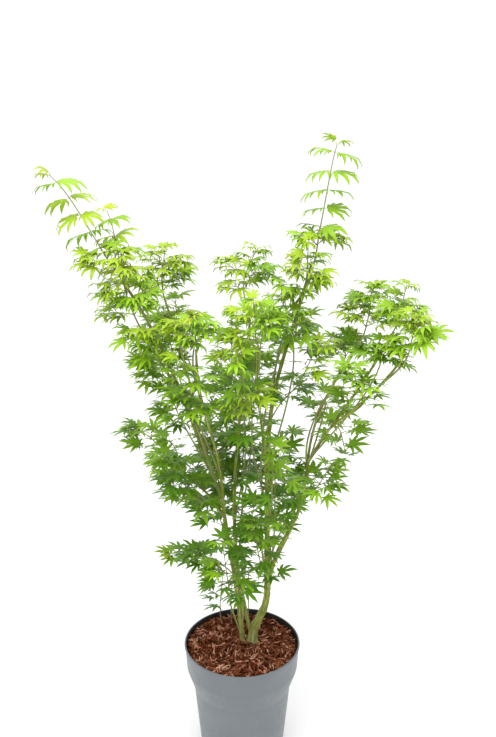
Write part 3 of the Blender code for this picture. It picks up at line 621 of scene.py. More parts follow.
def bark_finish():
    """Smooth young bark: olive green, greyer low down, with pale streaks and dark rings."""
    made = Finish("bark_young_green", 0.55, specular=0.2)
    olive, sunny = (0.150, 0.190, 0.012), (0.250, 0.290, 0.028)
    pale_streak, dark_streak = (0.52, 0.53, 0.27), (0.075, 0.080, 0.012)
    grey_foot, ring_brown = (0.26, 0.25, 0.13), (0.12, 0.10, 0.045)
    streaks = made.stretched_noise(made.attribute("grain", "Vector"), (620.0, 620.0, 30.0), 4.0)
    blotches = made.noise(28.0, 3.0)
    body = made.layer(olive, sunny, blotches, 0.35, 0.65)
    body = made.layer(body, pale_streak, streaks, 0.54, 0.66)
    body = made.layer(body, dark_streak, streaks, 0.44, 0.32)
    body = made.layer(body, grey_foot, made.attribute("foot"), 0.0, 1.0, 0.0, 0.45)
    made.colour(made.layer(body, ring_brown, made.attribute("ring"), 0.3, 1.0, 0.0, 0.75))
    made.roughness(blotches, 0.46, 0.66)
    made.bump(made.maths("ADD", streaks, made.noise(900.0, 2.0)), 0.0004, 0.6)
    return made.material


def twig_finish(name, sunny, shaded):
    """A thin stem that changes colour in patches along its length."""
    made = Finish(name, 0.5, specular=0.35)
    made.colour(made.layer(sunny, shaded, made.noise(30.0, 2.0), 0.38, 0.62))
    made.roughness(made.noise(300.0), 0.42, 0.6)
    made.bump(made.noise(1200.0, 2.0), 0.0002, 0.4)
    return made.material


def pot_finish():
    """Matt grey-blue moulded plastic with a fine grain and dusty scuffs, and painted shade inside.
    """
    made = Finish("pot_moulded_plastic", 0.45, specular=0.60)
    shade, light = (0.115, 0.132, 0.146), (0.135, 0.151, 0.166)
    # inside is painted shade: a near-black for the pot's inner wall and floor, where its hollow
    # lies in shade.
    dust, inside = (0.215, 0.235, 0.252), (0.018, 0.020, 0.019)
    shell = made.layer(shade, light, made.noise(14.0, 4.0), 0.35, 0.7)
    scuffs = made.stretched_noise(made.object_space, (60.0, 60.0, 9.0), 5.0)
    shell = made.layer(shell, dust, scuffs, 0.62, 0.78, 0.0, 0.28)
    made.colour(made.mix(made.attribute("inside"), shell, inside))
    made.roughness(made.noise(90.0, 3.0), 0.34, 0.48)
    made.bump(made.noise(1600.0, 2.0), 0.00015, 0.35)
    return made.material


def bark_chip_finish(name, dark, light):
    """Shredded bark: two browns in streaks along the fibres, with painted shade in darker patches.
    """
    made = Finish(name, 0.85, specular=0.06)
    fibres = made.stretched_noise(made.attribute("grain", "Vector"), (140.0, 1500.0, 1500.0), 4.0)
    patches = made.noise(160.0, 3.0)
    blend = made.maths("ADD", made.maths("MULTIPLY", fibres, 0.6),
                       made.maths("MULTIPLY", patches, 0.4))
    body = made.layer(dark, light, blend, 0.36, 0.64)
    # Painted shade: broad darker patches over the chips, standing in for the shadows among them.
    shadow_patches = made.noise(17.0, 2.0)
    made.colour(made.layer(body, scaled(dark, 1.25), shadow_patches, 0.46, 0.58, 0.0, 0.55))
    made.roughness(patches, 0.74, 0.95)
    made.bump(fibres, 0.0006, 0.8)
    return made.material


def mulch_bed_finish():
    """Crumbs between the chips, painted near-black as the shade that falls in the gaps."""
    made = Finish("mulch_crumbs", 0.92, specular=0.05)
    # Both crumb colours are kept near-black as painted shade in the gaps between the chips.
    painted_gap_shade, shaded_crumb = (0.014, 0.004, 0.001), (0.070, 0.022, 0.008)
    crumbs = made.noise(420.0, 5.0, roughness=0.7)
    made.colour(made.layer(painted_gap_shade, shaded_crumb, crumbs, 0.35, 0.7))
    made.roughness(crumbs, 0.82, 0.97)
    made.bump(crumbs, 0.002, 0.9)
    return made.material


# ---------------- stems

class Stem:
    """A tapering stem along dense points, with its place, way and radius at any share."""

    def __init__(self, points, foot_radius, tip_radius):
        self.points = points
        steps = np.linalg.norm(np.diff(points, axis=0), axis=1)
        self.length = float(steps.sum())
        self.marks = np.concatenate([[0.0], np.cumsum(steps)]) / self.length
        self.foot_radius = foot_radius
        self.tip_radius = tip_radius

    def at(self, shares):
        """Places at shares of the length, measured along the stem."""
        return np.stack([np.interp(shares, self.marks, axis) for axis in self.points.T], axis=-1)

    def way(self, share):
        """The direction from just below a share to just above it."""
        return unit(self.at(min(1.0, share + WAY_STEP)) - self.at(max(0.0, share - WAY_STEP)))

    def radius(self, share):
        """The radius changes evenly from the foot's to the tip's."""
        return self.foot_radius + (self.tip_radius - self.foot_radius) * share


def make_limb(name, limbs):
    """A limb starts on its parent's middle line and follows one cubic curve."""
    parent, along, bend_a, bend_b, tip, foot_radius, tip_radius = LIMBS[name]
    start = (*along, SOIL_Z - ROOT_DEPTH) if parent is None else limbs[parent].at(along)
    return Stem(bezier([start, bend_a, bend_b, tip], LIMB_STEPS), foot_radius, tip_radius)


def limb_tube(name, limb, bark):
    """Bark relief on one limb.

    The radius tapers evenly and is multiplied by: a collar that dies away from a
    fork, a swelling at every leaf scar ring, and low waves round and along.
    """
    rows = max(LIMB_ROWS_LEAST, int(limb.length / LIMB_ROW))
    shares = np.linspace(0.0, 1.0, rows)
    run = shares * limb.length
    path = limb.at(shares)
    smooth = limb.radius(shares)
    flare = ROOT_FLARE if LIMBS[name][0] is None else FORK_FLARE
    collar = 1.0 + flare * np.exp(-run / (FLARE_REACH * limb.foot_radius))
    phase = (len(name) * RING_PHASE) % 1.0
    nearest = (run / RING_SPACING + phase) % 1.0
    offset = np.minimum(nearest, 1.0 - nearest) * RING_SPACING
    ring = np.exp(-(offset / RING_WIDTH) ** 2)
    swell = 1.0 + NODE_SWELL * np.exp(-(offset / NODE_WIDTH) ** 2) + RING_SWELL * ring
    angles = around(LIMB_SIDES)
    wave = sum(height * np.sin(count * angles + radians * run[:, None] / length)
               for height, count, radians, length in BARK_WAVES)
    foot = np.clip(1.0 - (path[:, 2] - SOIL_Z) / BARK_FOOT, 0.0, 1.0)
    ridges = wave * (RIDGES[0] + RIDGES[1] * foot[:, None])
    radii = (smooth * collar * swell)[:, None] * (1.0 + ridges)
    points = sweep(path[None], radii[None], LIMB_SIDES)
    grain = on_circle(smooth[:, None], angles, run[:, None] + GRAIN_SHIFT * len(name))
    bark.add(points, tube_faces(1, rows, LIMB_SIDES), grain=grain.reshape(-1, 3),
             ring=np.repeat(ring, LIMB_SIDES), foot=np.repeat(foot, LIMB_SIDES))


# ---------------- pot and mulch

def turned(profile, sides):
    """A surface of revolution: each corner of the profile taken round a circle."""
    radius, height = np.asarray(profile, dtype=float).T[..., None]
    return on_circle(radius, around(sides), height)


def rounded(corners):
    """The profile with each inner corner eased by a short curve."""
    corners = np.asarray(corners, dtype=float)
    eased = [corners[:1]]
    for before, corner, after in zip(corners, corners[1:], corners[2:]):
        near = min(POT_EASE, EASE_LIMIT * np.linalg.norm(before - corner),
                   EASE_LIMIT * np.linalg.norm(after - corner))
        start = corner + unit(before - corner) * near
        end = corner + unit(after - corner) * near
        eased.append(quadratic(start, corner, end, np.linspace(0, 1, EASE_STEPS)[:, None]))
    return np.concatenate(eased + [corners[-1:]])


def make_pot():
    """The pot: a closed shell of revolution with a fan of triangles at either end."""
    inner, slope_in, slope_out, outer = CHANNEL
    lip = (RIM_RADIUS - LIP_WIDTH, POT_HEIGHT)
    outside = rounded([(0.0, 0.0), (inner, 0.0), (slope_in, CHANNEL_RISE),
                       (slope_out, CHANNEL_RISE), (outer, 0.0), (FOOT_RADIUS, 0.0),
                       (BODY_RADIUS, SHOULDER_FOOT), (COLLAR_RADIUS, COLLAR_FOOT),
                       (RIM_RADIUS - BAND_SETBACK, POT_HEIGHT - BAND_FOOT),
                       (RIM_RADIUS, POT_HEIGHT - BAND_EDGE), (RIM_RADIUS, POT_HEIGHT),
                       lip])
    inside = rounded([lip, (RIM_RADIUS - LIP_CORNER[0], POT_HEIGHT - LIP_CORNER[1]),
                      (COLLAR_RADIUS - WALL, COLLAR_FOOT),
                      (BODY_RADIUS - WALL, SHOULDER_FOOT),
                      (FOOT_RADIUS - WALL + FLOOR_SPREAD, FLOOR_TOP), (0.0, FLOOR_TOP)])
    profile = np.concatenate([outside[1:], inside[1:-1]])
    rows = len(profile)
    # The inner rows and the floor's top are marked inside, where the finish paints shade.
    dark = np.repeat((np.arange(rows) >= len(outside) - 1).astype(float), POT_SIDES)
    centres = np.array([[0.0, 0.0, 0.0], [0.0, 0.0, FLOOR_TOP]])
    side = np.arange(POT_SIDES)
    after = (side + 1) % POT_SIDES
    last = (rows - 1) * POT_SIDES
    hub = np.full(POT_SIDES, rows * POT_SIDES)
    under = np.stack([hub, after, side], axis=-1)
    floor = np.stack([hub + 1, last + side, last + after], axis=-1)
    shell = Piece()
    shell.add(np.concatenate([turned(profile, POT_SIDES).reshape(-1, 3), centres]),
              tube_faces(1, rows, POT_SIDES, capped=False) + [under, floor],
              inside=np.concatenate([dark, [0.0, 1.0]]))
    drill_drains(shell.make("pot_shell", pot_finish(), ["pot"]))


def drill_drains(pot):
    """Cut the drain holes through the pot's floor, in the middle of its channel."""
    reach = (CHANNEL[0] + CHANNEL[3]) / 2
    feet = on_circle(reach, around(DRAIN_HOLES, first=0.5), DRILL_FOOT)
    paths = np.stack([feet, feet + UP * DRILL_LENGTH], axis=1)
    points = sweep(paths, np.full((DRAIN_HOLES, 2), DRAIN_RADIUS), DRAIN_SIDES)
    drill = Piece()
    drill.add(points, tube_faces(DRAIN_HOLES, 2, DRAIN_SIDES), inside=np.zeros(points.size // 3))
    cutter = drill.make("drain_drill", pot.data.materials[0])
    holes = pot.modifiers.new("drain_holes", "BOOLEAN")
    holes.operation = "DIFFERENCE"
    holes.object = cutter
    holes.solver = "EXACT"
    bpy.context.view_layer.update()
    cut = bpy.data.meshes.new_from_object(pot.evaluated_get(bpy.context.evaluated_depsgraph_get()))
    pot.modifiers.clear()
    pot.data = cut
    bpy.data.objects.remove(cutter, do_unlink=True)


def mulch_height(x, y):
    """The bed's surface: four crossed sine waves, raised towards the wall by the square.

    The numbers in the sines are radians for each metre, and the shift of each wave.
    """
    distance = np.hypot(x, y) / BED_RADIUS
    waves = (BED_WAVES[0] * np.sin(83 * x + 1.3) * np.sin(71 * y + 0.4)
             + BED_WAVES[1] * np.sin(171 * x - 0.7 + 40 * y)
             + BED_WAVES[2] * np.sin(301 * y + 150 * x)
             + BED_WAVES[3] * np.sin(523 * x) * np.sin(467 * y + 2.0))
    return SOIL_Z - BED_DROP + waves + BED_RAISE * distance ** 2


def fill_radius(height):
    """The fill's radius at a height: the pot's, less its wall and a small gap."""
    heights = [0.0, SHOULDER_FOOT, COLLAR_FOOT, POT_HEIGHT]
    radii = [FOOT_RADIUS, BODY_RADIUS, COLLAR_RADIUS, RIM_RADIUS - BAND_SETBACK]
    return np.interp(height, heights, radii) - (WALL + BED_GAP)


def make_mulch_bed():
    """The fill: side and floor follow the pot's wall, and the top is the uneven bed."""
    heights = np.array([FLOOR_TOP + BED_FOOT, SHOULDER_FOOT, COLLAR_FOOT, BED_EDGE[0]])
    top_radii = np.linspace(fill_radius(BED_EDGE[1]), BED_CORE, BED_RINGS)
    profile = np.concatenate([
        np.stack([fill_radius(heights), heights], axis=-1),
        np.stack([top_radii, np.full(BED_RINGS, SOIL_Z)], axis=-1)])
    points = turned(profile, POT_SIDES)
    top = points[len(heights):]
    top[..., 2] = mulch_height(top[..., 0], top[..., 1])
    bed = Piece()
    bed.add(points, tube_faces(1, len(profile), POT_SIDES))
    bed.make("mulch_bed", mulch_bed_finish(), ["bark_mulch"])


def turns_about(axis, angles):
    """Rotation matrices about one axis: cosines on the diagonal, sines off it."""
    turn = np.zeros((len(angles), 3, 3))
    a, b = [(1, 2), (2, 0), (0, 1)][axis]
    turn[:, axis, axis] = 1.0
    turn[:, a, a] = turn[:, b, b] = np.cos(angles)
    turn[:, a, b], turn[:, b, a] = -np.sin(angles), np.sin(angles)
    return turn


def make_chips(name, count, dark, light, lengths, widths, rng):
    """Shredded chips: each is five rings of four corners along a bent, pointed sliver.

    The middle line bends as its square, and width and thickness swell from both
    ends by the square root of a cosine. Each is then turned and laid on the bed.
    """
    one_each = (count, 1)
    length = rng.uniform(*lengths, one_each) * rng.uniform(*CHIP_CUT, one_each)
    width = length * rng.uniform(*widths, one_each)
    thick = rng.uniform(*CHIP_THICKNESS, one_each) * (1.0 + CHIP_STOUTNESS * widths[0])
    t = np.linspace(-1.0, 1.0, CHIP_RINGS)
    swell = np.sqrt(np.clip(np.cos(t * math.pi / 2 * CHIP_TAPER), CHIP_TIP, 1.0))
    swell = swell * rng.uniform(*CHIP_RAGGED, (count, CHIP_RINGS))
    bend, sway = (rng.normal(0.0, CHIP_BEND, one_each) * length * t ** 2 for _ in range(2))
    local = np.stack(np.broadcast_arrays(
        (length / 2 * t)[:, :, None],
        sway[:, :, None] + (width / 2 * swell)[:, :, None] * CHIP_CORNERS[:, 0],
        bend[:, :, None] + (thick * swell)[:, :, None] * CHIP_CORNERS[:, 1]), axis=-1)
    yaw = rng.uniform(0, 2 * math.pi, count)
    pitch = rng.normal(0.0, CHIP_PITCH, count)
    roll = rng.normal(0.0, CHIP_ROLL, count)
    turn = turns_about(2, yaw) @ turns_about(1, pitch) @ turns_about(0, roll)
    spot = CHIP_SPREAD * np.sqrt(rng.uniform(0, 1, count))
    angle = rng.uniform(0, 2 * math.pi, count)
    place = on_circle(np.minimum(spot, BED_RADIUS - length[:, 0] * CHIP_CLEAR), angle, 0.0)
    place[:, 2] = mulch_height(place[:, 0], place[:, 1]) + rng.uniform(0.0, CHIP_PILE, count)
    shaped = np.einsum("nij,nrcj->nrci", turn, local) + place[:, None, None]
    grain = local.reshape(-1, 3) + np.repeat(place, CHIP_RINGS * 4, axis=0)
    chips = Piece()
    chips.add(shaped, tube_faces(count, CHIP_RINGS, 4), grain=grain)
    chips.make(name, bark_chip_finish(name + "_finish", dark, light), smooth=False)


# ---------------- growth

# A grown leaf: its mass and tint, where its stalk starts, bends and ends, the ways
# that its blade points ahead and to the side, and the blade's length, curl, spread
# of the lobes, shade and arch.
Leaf = namedtuple("Leaf", "mass tint root bend base ahead side blade curl spread shade arch")


def height_share(height):
    """How high in the foliage a height is, from 0 to 1."""
    return min(1.0, max(0.0, (height - LOW_HEIGHT) / (HIGH_HEIGHT - LOW_HEIGHT)))


def middle_share(height):
    """How near a height is to the crown's thinnest level, from 0 to 1."""
    return max(0.0, 1.0 - abs(height - THIN_HEIGHT) / THIN_SPREAD)


def crown_depth(point):
    """How far inside the crown a point lies, from 0 at its outside to 1 at its axis."""
    return max(0.0, 1.0 - math.hypot(point[0] - CROWN_AXIS, point[1]) / CROWN_RADIUS)


def ring_direction(along, turn):
    """A direction square to a shoot, turned round it from its level side."""
    level = np.cross(along, UP)
    if np.linalg.norm(level) < UPRIGHT:
        level = np.array([1.0, 0.0, 0.0])
    level = unit(level)
    return level * math.cos(turn) + np.cross(level, along) * math.sin(turn)


def spread_direction(along, turn, angle=SPREAD_ANGLE):
    """A direction that leaves a shoot at the spread angle."""
    return along * math.cos(angle) + ring_direction(along, turn) * math.sin(angle)


def mass_shoot(name, limbs):
    """A mass's shoot: square off its limb, arched, and ending at the apex."""
    bearer, along, apex, _ = MASSES[name]
    limb = limbs[bearer]
    middle = limb.at(along)
    out = limb.way(along)
    clear = LEAD_IN
    if along < 1.0:
        level = np.array(apex) - middle
        level[2] = 0.0
        out = unit(level - out * level.dot(out))
        clear = LEAD_IN + limb.radius(along)
    lead = middle + out * clear
    span = np.linalg.norm(apex - lead)
    crest = lead + (apex - lead) * SHOOT_CREST + UP * (SHOOT_LIFT * span)
    curve = bezier([lead, lead + out * SHOOT_START * span, crest, apex], SHOOT_STEPS)
    return Stem(curve, SHOOT_BASE, SHOOT_TIP)


def fork(name, limbs, shoot):
    """The lower part of a mass's stem: it leaves its bough lower down, at a narrow angle."""
    bearer, along, _, _ = MASSES[name]
    limb = limbs[bearer]
    dice = random.Random(name)
    run = dice.uniform(*FORK_RUN)
    below = (FORK_AT_TIP if along == 1.0 else 1.0) * run / limb.length
    share = max(FORK_LOWEST, along - below)
    start = limb.at(share)
    joint = shoot.at(FORK_JOINT)
    gap = np.linalg.norm(joint - start)
    turn = dice.uniform(-FORK_TURN, FORK_TURN)
    bow = FORK_BOW * gap * ring_direction(limb.way(share), turn) * dice.choice((-1.0, 1.0))
    return bezier([start, start + limb.way(share) * gap * FORK_HANDLES[0] + bow,
                   joint - shoot.way(FORK_WAY) * gap * FORK_HANDLES[1] + bow, joint], FORK_STEPS)


class Garden:
    """Every leaf and twig grown so far, and the test that keeps them apart."""

    def __init__(self, limbs):
        shares = np.linspace(0, 1, LIMB_SAMPLES)
        self.limb_points = np.concatenate([limb.at(shares) for limb in limbs.values()])
        self.limb_radii = np.concatenate([limb.radius(shares) for limb in limbs.values()])
        self.centres = np.zeros((MOST_LEAVES, 3))
        self.leaves = []
        self.twigs = []

    def has_room(self, centre, tip, spacing):
        """Whether a leaf clears the pot, the other leaves' middles and the limbs."""
        if tip[2] < FOLIAGE_FLOOR:
            return False
        if near_pot(centre, POT_ROOM, POT_ROOM) or near_pot(tip, *TIP_ROOM):
            return False
        gaps = np.linalg.norm(self.centres[:len(self.leaves)] - centre, axis=1)
        if self.leaves and gaps.min() < spacing:
            return False
        for point in (centre, tip):
            gaps = np.linalg.norm(self.limb_points - point, axis=1) - self.limb_radii
            if gaps.min() < BARK_ROOM:
                return False
        return True


def near_pot(point, outwards, upwards):
    """Whether a point lies this near the pot, outwards from its rim or above it."""
    return (math.hypot(point[0], point[1]) < RIM_RADIUS + outwards
            and point[2] < POT_HEIGHT + upwards)


def add_leaf(garden, mass, dice, root, along, turn, size, tint, habit="plain"):
    """A leaf on its petiole, turned round the twig until it has room, or skipped."""
    high = height_share(root[2])
    blade = (BLADE - BLADE_LESS * high) * size * dice.uniform(*BLADE_SCATTER)
    angle, rise, lift, opened, stalk_share = HABITS[habit]
    stalk = blade * dice.uniform(*STALK_SCATTER) * stalk_share
    nod = dice.gauss(*LEAF_NOD)
    curl = max(CURL_LEAST, dice.gauss(CURL[0] + CURL[1] * high ** 3, CURL[2]))
    curl = min(CURL_LIMIT, curl) * opened
    arch = dice.uniform(0.0, ARCH[0]) + ARCH[1] * high ** 3
    roll = dice.gauss(0.0, LEAF_TILT)
    spin = dice.gauss(0.0, LEAF_TILT)
    spacing = LEAF_SPACING * (SPACING_SHARES[0] - SPACING_SHARES[1] * high) * blade / BLADE
    for extra in TURNS:
        way = unit(spread_direction(along, turn + extra, angle) + UP * rise)
        ahead = unit(way * (1.0, 1.0, LEAF_LEVELLING))
        cosine, sine = math.cos(spin), math.sin(spin)
        ahead = unit(np.array([ahead[0] * cosine - ahead[1] * sine,
                               ahead[0] * sine + ahead[1] * cosine, ahead[2] - nod + lift]))
        bend = root + way * stalk * STALK_PARTS[0]
        base = bend + unit(way + ahead) * stalk * STALK_PARTS[1]
        centre = base + ahead * blade * LEAF_MIDDLE
        if garden.has_room(centre, base + ahead * blade * LEAF_END, spacing):
            level = unit(np.cross(UP, ahead))
            side = level * math.cos(roll) + np.cross(ahead, level) * math.sin(roll)
            garden.centres[len(garden.leaves)] = centre
            garden.leaves.append(Leaf(mass, tint, root, bend, base, ahead, side, blade, curl,
                                      opened * dice.uniform(*SPREAD_SCATTER), dice.random(), arch))
            return True
    return False


def spray_tint(dice, height, tipness, depth):
    """Which of the tints a spray takes: paler with height and near tips; deeper inside, as painted
    shade.
    """
    start, rising, cresting, newness, painted_crown_shade = TINT_SHARES
    high = height_share(height)
    value = start + rising * high + cresting * high ** 3 + newness * tipness - painted_crown_shade * depth
    palest = len(TINTS) - (1 if tipness > GOLD_FROM else 2)
    place = math.floor((value + dice.gauss(0.0, TINT_SCATTER)) * len(TINTS))
    return min(palest, max(0, place))


def add_twig(garden, mass, dice, shoot, share, turn, reach):
    """A side twig: arched, bearing opposite pairs of leaves and a leaf at its tip."""
    root = shoot.at(share)
    way = spread_direction(shoot.way(share), turn)
    way[2] *= TWIG_LEVELLING
    length = reach * dice.uniform(*TWIG_LENGTHS)
    middle = root + way * length * TWIG_MIDDLE + UP * (TWIG_ARCH * length)
    tip = root + way * length + UP * (dice.uniform(-TWIG_DROOP, TWIG_DROOP) * length)
    curve = bezier([root, root + (middle - root) * TWIG_HANDLE, middle, tip], TWIG_STEPS)
    twig = Stem(curve, TWIG_BASE, TWIG_TIP)
    closer = CLOSENESS[0] + CLOSENESS[1] * height_share(root[2])
    gaps = INNER_THINNING * crown_depth(root) + MIDDLE_THINNING * middle_share(root[2])
    pairs = max(1, round(length / TWIG_SPACING * closer * (1.0 - min(MOST_THINNING, gaps))))
    tint = spray_tint(dice, tip[2], share, crown_depth(tip))
    turn = dice.uniform(0, math.pi)
    borne = 0
    for index in range(pairs):
        place = (index + PAIR_LEAD) / pairs * PAIRS_END
        turn += math.pi / 2
        for side in (0.0, math.pi):
            borne += add_leaf(garden, mass, dice, twig.at(place), twig.way(place), turn + side,
                              TWIG_LEAF[0] - TWIG_LEAF[1] * place, tint)
    borne += add_leaf(garden, mass, dice, twig.at(1.0), twig.way(1.0), 0.0, TWIG_TIP_LEAF, tint)
    if borne:
        garden.twigs.append((curve, TWIG_BASE, TWIG_TIP))


def grow_mass(garden, name, limbs):
    """One mass: pairs of side twigs low on its shoot, then pairs of leaves up to its tip."""
    dice = random.Random(name)
    reach = MASSES[name][3]
    shoot = mass_shoot(name, limbs)
    upper = shoot.at(np.linspace(FORK_JOINT, 1, SHOOT_ROWS))
    garden.twigs.append((np.concatenate([fork(name, limbs, shoot)[:-1], upper]),
                         SHOOT_BASE, SHOOT_TIP))
    leader = name in LEADERS
    spacing = LEADER_SPACING if leader else SHOOT_SPACING
    twig_end = LEADER_TWIG_END if leader else TWIG_END
    first = max(BARE_LEAST, BARE_SHARE * (shoot.length - SHORT_SHOOT)) / shoot.length
    nodes = max(LEAST_NODES, round((1.0 - first) * shoot.length / spacing) + 1)
    turn = dice.uniform(0, math.pi)
    for index in range(nodes):
        share = first + (LAST_PAIR - first) * index / (nodes - 1)
        turn += math.pi / 2 + dice.uniform(-NODE_TURN, NODE_TURN)
        root, along = shoot.at(share), shoot.way(share)
        shade = LEADER_SHADE if leader else 0.0
        tint = spray_tint(dice, root[2], share - shade, crown_depth(root))
        for side in (0.0, math.pi):
            if share < twig_end:
                add_twig(garden, name, dice, shoot, share, turn + side,
                         reach * (TWIG_REACH[0] - TWIG_REACH[1] * share))
            elif leader:
                aside = math.pi / 2 + side + dice.uniform(-LEADER_TURN, LEADER_TURN)
                add_leaf(garden, name, dice, root, along, aside, LEADER_LEAF, tint, "leader")
            else:
                add_leaf(garden, name, dice, root, along, turn + side,
                         SHOOT_LEAF[0] - SHOOT_LEAF[1] * share, tint)
    tint = spray_tint(dice, MASSES[name][2][2], 1.0, 0.0)
    turn = dice.uniform(0, math.pi)
    for side in (0.0, math.pi):
        add_leaf(garden, name, dice, shoot.at(1.0), shoot.way(1.0), turn + side,
                 TIP_LEAF, tint, "tip")


# ---------------- leaf meshes

def columns(leaves):
    """The leaves turned into one leaf whose every value is an array over them all."""
    return Leaf(*(np.array(column) for column in zip(*leaves)))


def leaf_blades(leaves, piece):
    """All the blades of one tint, as one block of arrays.

    A blade is an umbrella of lobes. The slope of a lobe at share t of its length is
    a t + k t to the fifth, where a is the leaf's arch and k its curl, so it domes
    gently and then hooks down: it goes out by the running sum of the slope's cosine
    and down by that of its sine. Each lobe has a midrib, a tip, pairs of edge points
    raised above the midrib, and notches that it shares with its neighbours.
    """
    count, lobes = len(leaves), len(LOBES)
    leaf = columns(leaves)
    up = np.cross(leaf.ahead, leaf.side)
    curl = leaf.curl[:, None]
    rng = np.random.default_rng(count)
    lobe_angles, lobe_lengths = np.array(LOBES).T
    angle = (np.radians(lobe_angles)[None] * leaf.spread[:, None]
             + rng.normal(0, LOBE_TURN, (count, lobes)))
    length = lobe_lengths[None] * rng.uniform(*LOBE_LENGTHS, (count, lobes))
    width = rng.uniform(*LOBE_WIDTHS, (count, 1)) * (CURL_WIDTH[0] - CURL_WIDTH[1] * curl)

    # Each group of points: its reach, turn, way across, share of the reach, and
    # whether it lies on the edge.
    nothing = np.zeros((count, 1))
    groups = [(nothing, nothing, nothing, nothing, 0.0)]
    for row, offset in ((NOTCH, 0.0), *LOBE_EDGES, (1.0, 0.0)):
        for sign in ((0.0,) if offset == 0.0 else (-1.0, 0.0, 1.0)):
            groups.append((length, angle, sign * offset * length * width,
                           np.full((count, lobes), row), abs(sign)))
    middle = (angle[:, 1:] + angle[:, :-1]) / 2
    notch = 0.5 * (length[:, 1:] + length[:, :-1])
    groups.append((notch, middle, 0.0 * notch, np.full((count, lobes - 1), NOTCH), 1.0))
    heel_turn = np.stack([angle[:, 0] - HEEL[1], angle[:, -1] + HEEL[1]], axis=1)
    heel = np.full((count, 2), HEEL[0])
    groups.append((heel, heel_turn, 0.0 * heel, np.ones((count, 2)), 1.0))

    reach, turn, across, share = (np.concatenate([group[part] for group in groups], axis=1)
                                  for part in range(4))
    edge = np.concatenate([np.full(group[0].shape[1], group[4]) for group in groups])
    steps = (np.arange(CURL_STEPS) + 0.5) / CURL_STEPS
    slope = leaf.arch[:, None] * steps + curl * steps ** 5
    stop = np.rint(share[0] * CURL_STEPS).astype(int)
    out, drop = (reach * np.concatenate([nothing, np.cumsum(part, axis=1)], axis=1)[:, stop]
                 / CURL_STEPS for part in (np.cos(slope), np.sin(slope)))
    local = np.stack([out * np.cos(turn) - across * np.sin(turn),
                      out * np.sin(turn) + across * np.cos(turn),
                      LOBE_FOLD * np.abs(across) - drop], axis=-1) * leaf.blade[:, None, None]
    points = (leaf.base[:, None] + local[..., :1] * leaf.ahead[:, None]
              + local[..., 1:2] * leaf.side[:, None] + local[..., 2:] * up[:, None])

    quads, triangles = leaf_faces(lobes)
    offsets = (np.arange(count) * points.shape[1])[:, None, None]
    piece.add(points, [(quads[None] + offsets).reshape(-1, 4),
                       (triangles[None] + offsets).reshape(-1, 3)],
              edge=np.tile(edge, count), along=np.tile(share[0], count),
              shade=np.repeat(leaf.shade, points.shape[1]))


def leaf_faces(lobes):
    """Faces of one blade: a fan at the middle, two quads for each step out, and the tips."""
    inner, after = 1, 1 + lobes
    edges = []
    for _ in LOBE_EDGES:
        edges.append((after, after + lobes, after + 2 * lobes))
        after += 3 * lobes
    tip, notches = after, after + lobes
    ends = notches + lobes - 1
    quads, triangles = [], []
    for lobe in range(lobes):
        right_notch = notches + lobe - 1 if lobe else ends
        left_notch = notches + lobe if lobe < lobes - 1 else ends + 1
        triangles += [(0, right_notch, inner + lobe), (0, inner + lobe, left_notch)]
        near = (right_notch, inner + lobe, left_notch)
        for edge in edges:
            far = tuple(corner + lobe for corner in edge)
            quads += [(near[0], far[0], far[1], near[1]), (near[1], far[1], far[2], near[2])]
            near = far
        triangles += [(near[0], tip + lobe, near[1]), (near[1], tip + lobe, near[2])]
    return np.array(quads), np.array(triangles)


def petioles(leaves, piece):
    """Petioles: three-sided tubes on quadratic curves from the twig to the blade."""
    leaf = columns(leaves)
    rows = len(PETIOLE_SWELL)
    t = np.linspace(0, 1, rows)[None, :, None]
    paths = quadratic(leaf.root[:, None], leaf.bend[:, None], leaf.base[:, None], t)
    radii = np.broadcast_to(PETIOLE_SWELL * PETIOLE_RADIUS, paths.shape[:2])
    piece.add(sweep(paths, radii, 3), tube_faces(len(leaves), rows, 3, capped=False))


def twig_tubes(twigs, piece, sides):
    """Twigs: tubes that taper evenly, swollen a little at their foot."""
    for curve, foot, tip in twigs:
        shares = np.linspace(0, 1, len(curve))
        radii = foot + (tip - foot) * shares
        radii[0] *= TWIG_FOOT
        piece.add(sweep(curve[None], radii[None], sides), tube_faces(1, len(curve), sides))


# ---------------- stage

def area_light(name, place, aim, size, power):
    """A round soft lamp turned from its place towards its aim."""
    light = bpy.data.lights.new(name, "AREA")
    light.shape = "DISK"
    light.size = size
    light.energy = power
    lamp = put_in_scene(name, light)
    lamp.location = place
    way = np.array(aim) - np.array(place)
    yaw = math.atan2(way[1], way[0]) - math.pi / 2
    pitch = math.pi / 2 + math.atan2(way[2], math.hypot(way[0], way[1]))
    lamp.rotation_euler = (pitch, 0.0, yaw)


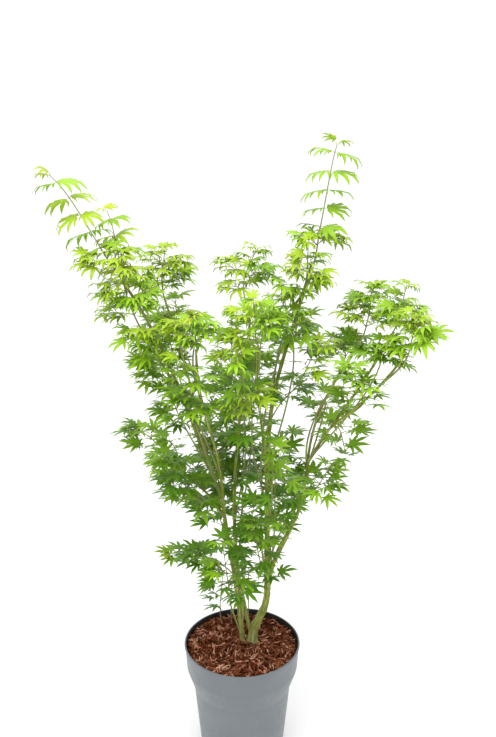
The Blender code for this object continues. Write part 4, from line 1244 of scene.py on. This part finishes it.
def make_stage():
    """A wide pale floor, a bright even sky and two soft lamps."""
    paint = Finish("studio_floor", 0.9, specular=0.1)
    paint.feed((FLOOR_TONE,) * 3, paint.shader.inputs["Base Color"])
    points = turned([(radius, FLOOR_Z) for radius in FLOOR_RINGS], FLOOR_SIDES)
    faces = tube_faces(1, len(FLOOR_RINGS), FLOOR_SIDES, capped=False)[0][:, ::-1]
    mesh = bpy.data.meshes.new("studio_floor")
    mesh.from_pydata(points.reshape(-1, 3).tolist(), [], faces.tolist())
    mesh.materials.append(paint.material)
    put_in_scene("studio_floor", mesh)

    world = bpy.data.worlds.new("studio")
    bpy.context.scene.world = world
    world.use_nodes = True
    sky = world.node_tree.nodes["Background"]
    sky.inputs["Color"].default_value = (1.0, 1.0, 1.0, 1.0)
    sky.inputs["Strength"].default_value = SKY_STRENGTH
    for name, settings in LAMPS.items():
        area_light(name, *settings)
    bpy.context.scene.view_settings.view_transform = "Standard"


def make_camera():
    """The camera stands in front, above the crown, and looks down at the plant."""
    lens = bpy.data.cameras.new("camera")
    lens.sensor_width = SENSOR
    lens.lens = FOCAL_SHARE * SENSOR
    camera = put_in_scene("camera", lens)
    camera.location = CAMERA_PLACE
    camera.rotation_euler = (math.radians(90.0 - CAMERA_TILT), 0.0, 0.0)
    bpy.context.scene.camera = camera


# ---------------- making

make_camera()
make_stage()
make_pot()
make_mulch_bed()
rng = np.random.default_rng(CHIP_SEED)
for chip_kind in CHIPS:
    make_chips(*chip_kind, rng)

limbs = {}
bark = Piece()
for limb_name in LIMBS:
    limbs[limb_name] = make_limb(limb_name, limbs)
    limb_tube(limb_name, limbs[limb_name], bark)
bark.make("stems_and_boughs", bark_finish(), list(LIMBS))

garden = Garden(limbs)
for mass_name in MASSES:
    grow_mass(garden, mass_name, limbs)

twigs = Piece()
twig_tubes(garden.twigs, twigs, TWIG_SIDES)
twigs.make("twigs", twig_finish("twig_green", (0.270, 0.330, 0.080), (0.235, 0.220, 0.095)))
basal = Piece()
twig_tubes([(bezier(knots, BASAL_STEPS), radius, radius * BASAL_TAPER)
            for knots, radius in BASAL_SHOOTS], basal, BASAL_SIDES)
basal.make("basal_shoots", twig_finish("twig_grey", (0.230, 0.200, 0.130), (0.300, 0.250, 0.190)))
stalks = Piece()
petioles(garden.leaves, stalks)
stalks.make("petioles", twig_finish("petiole_green", (0.330, 0.400, 0.085), (0.300, 0.290, 0.090)))

for tint_index, (piece_name, slot_name, colour) in enumerate(TINTS):
    chosen = [leaf for leaf in garden.leaves if leaf.tint == tint_index]
    blades = Piece()
    leaf_blades(chosen, blades)
    blades.make(piece_name, leaf_finish(piece_name + "_finish", colour),
                sorted({leaf.mass for leaf in chosen}))
    print(piece_name, len(chosen))
print("leaves:", len(garden.leaves), "twigs:", len(garden.twigs))
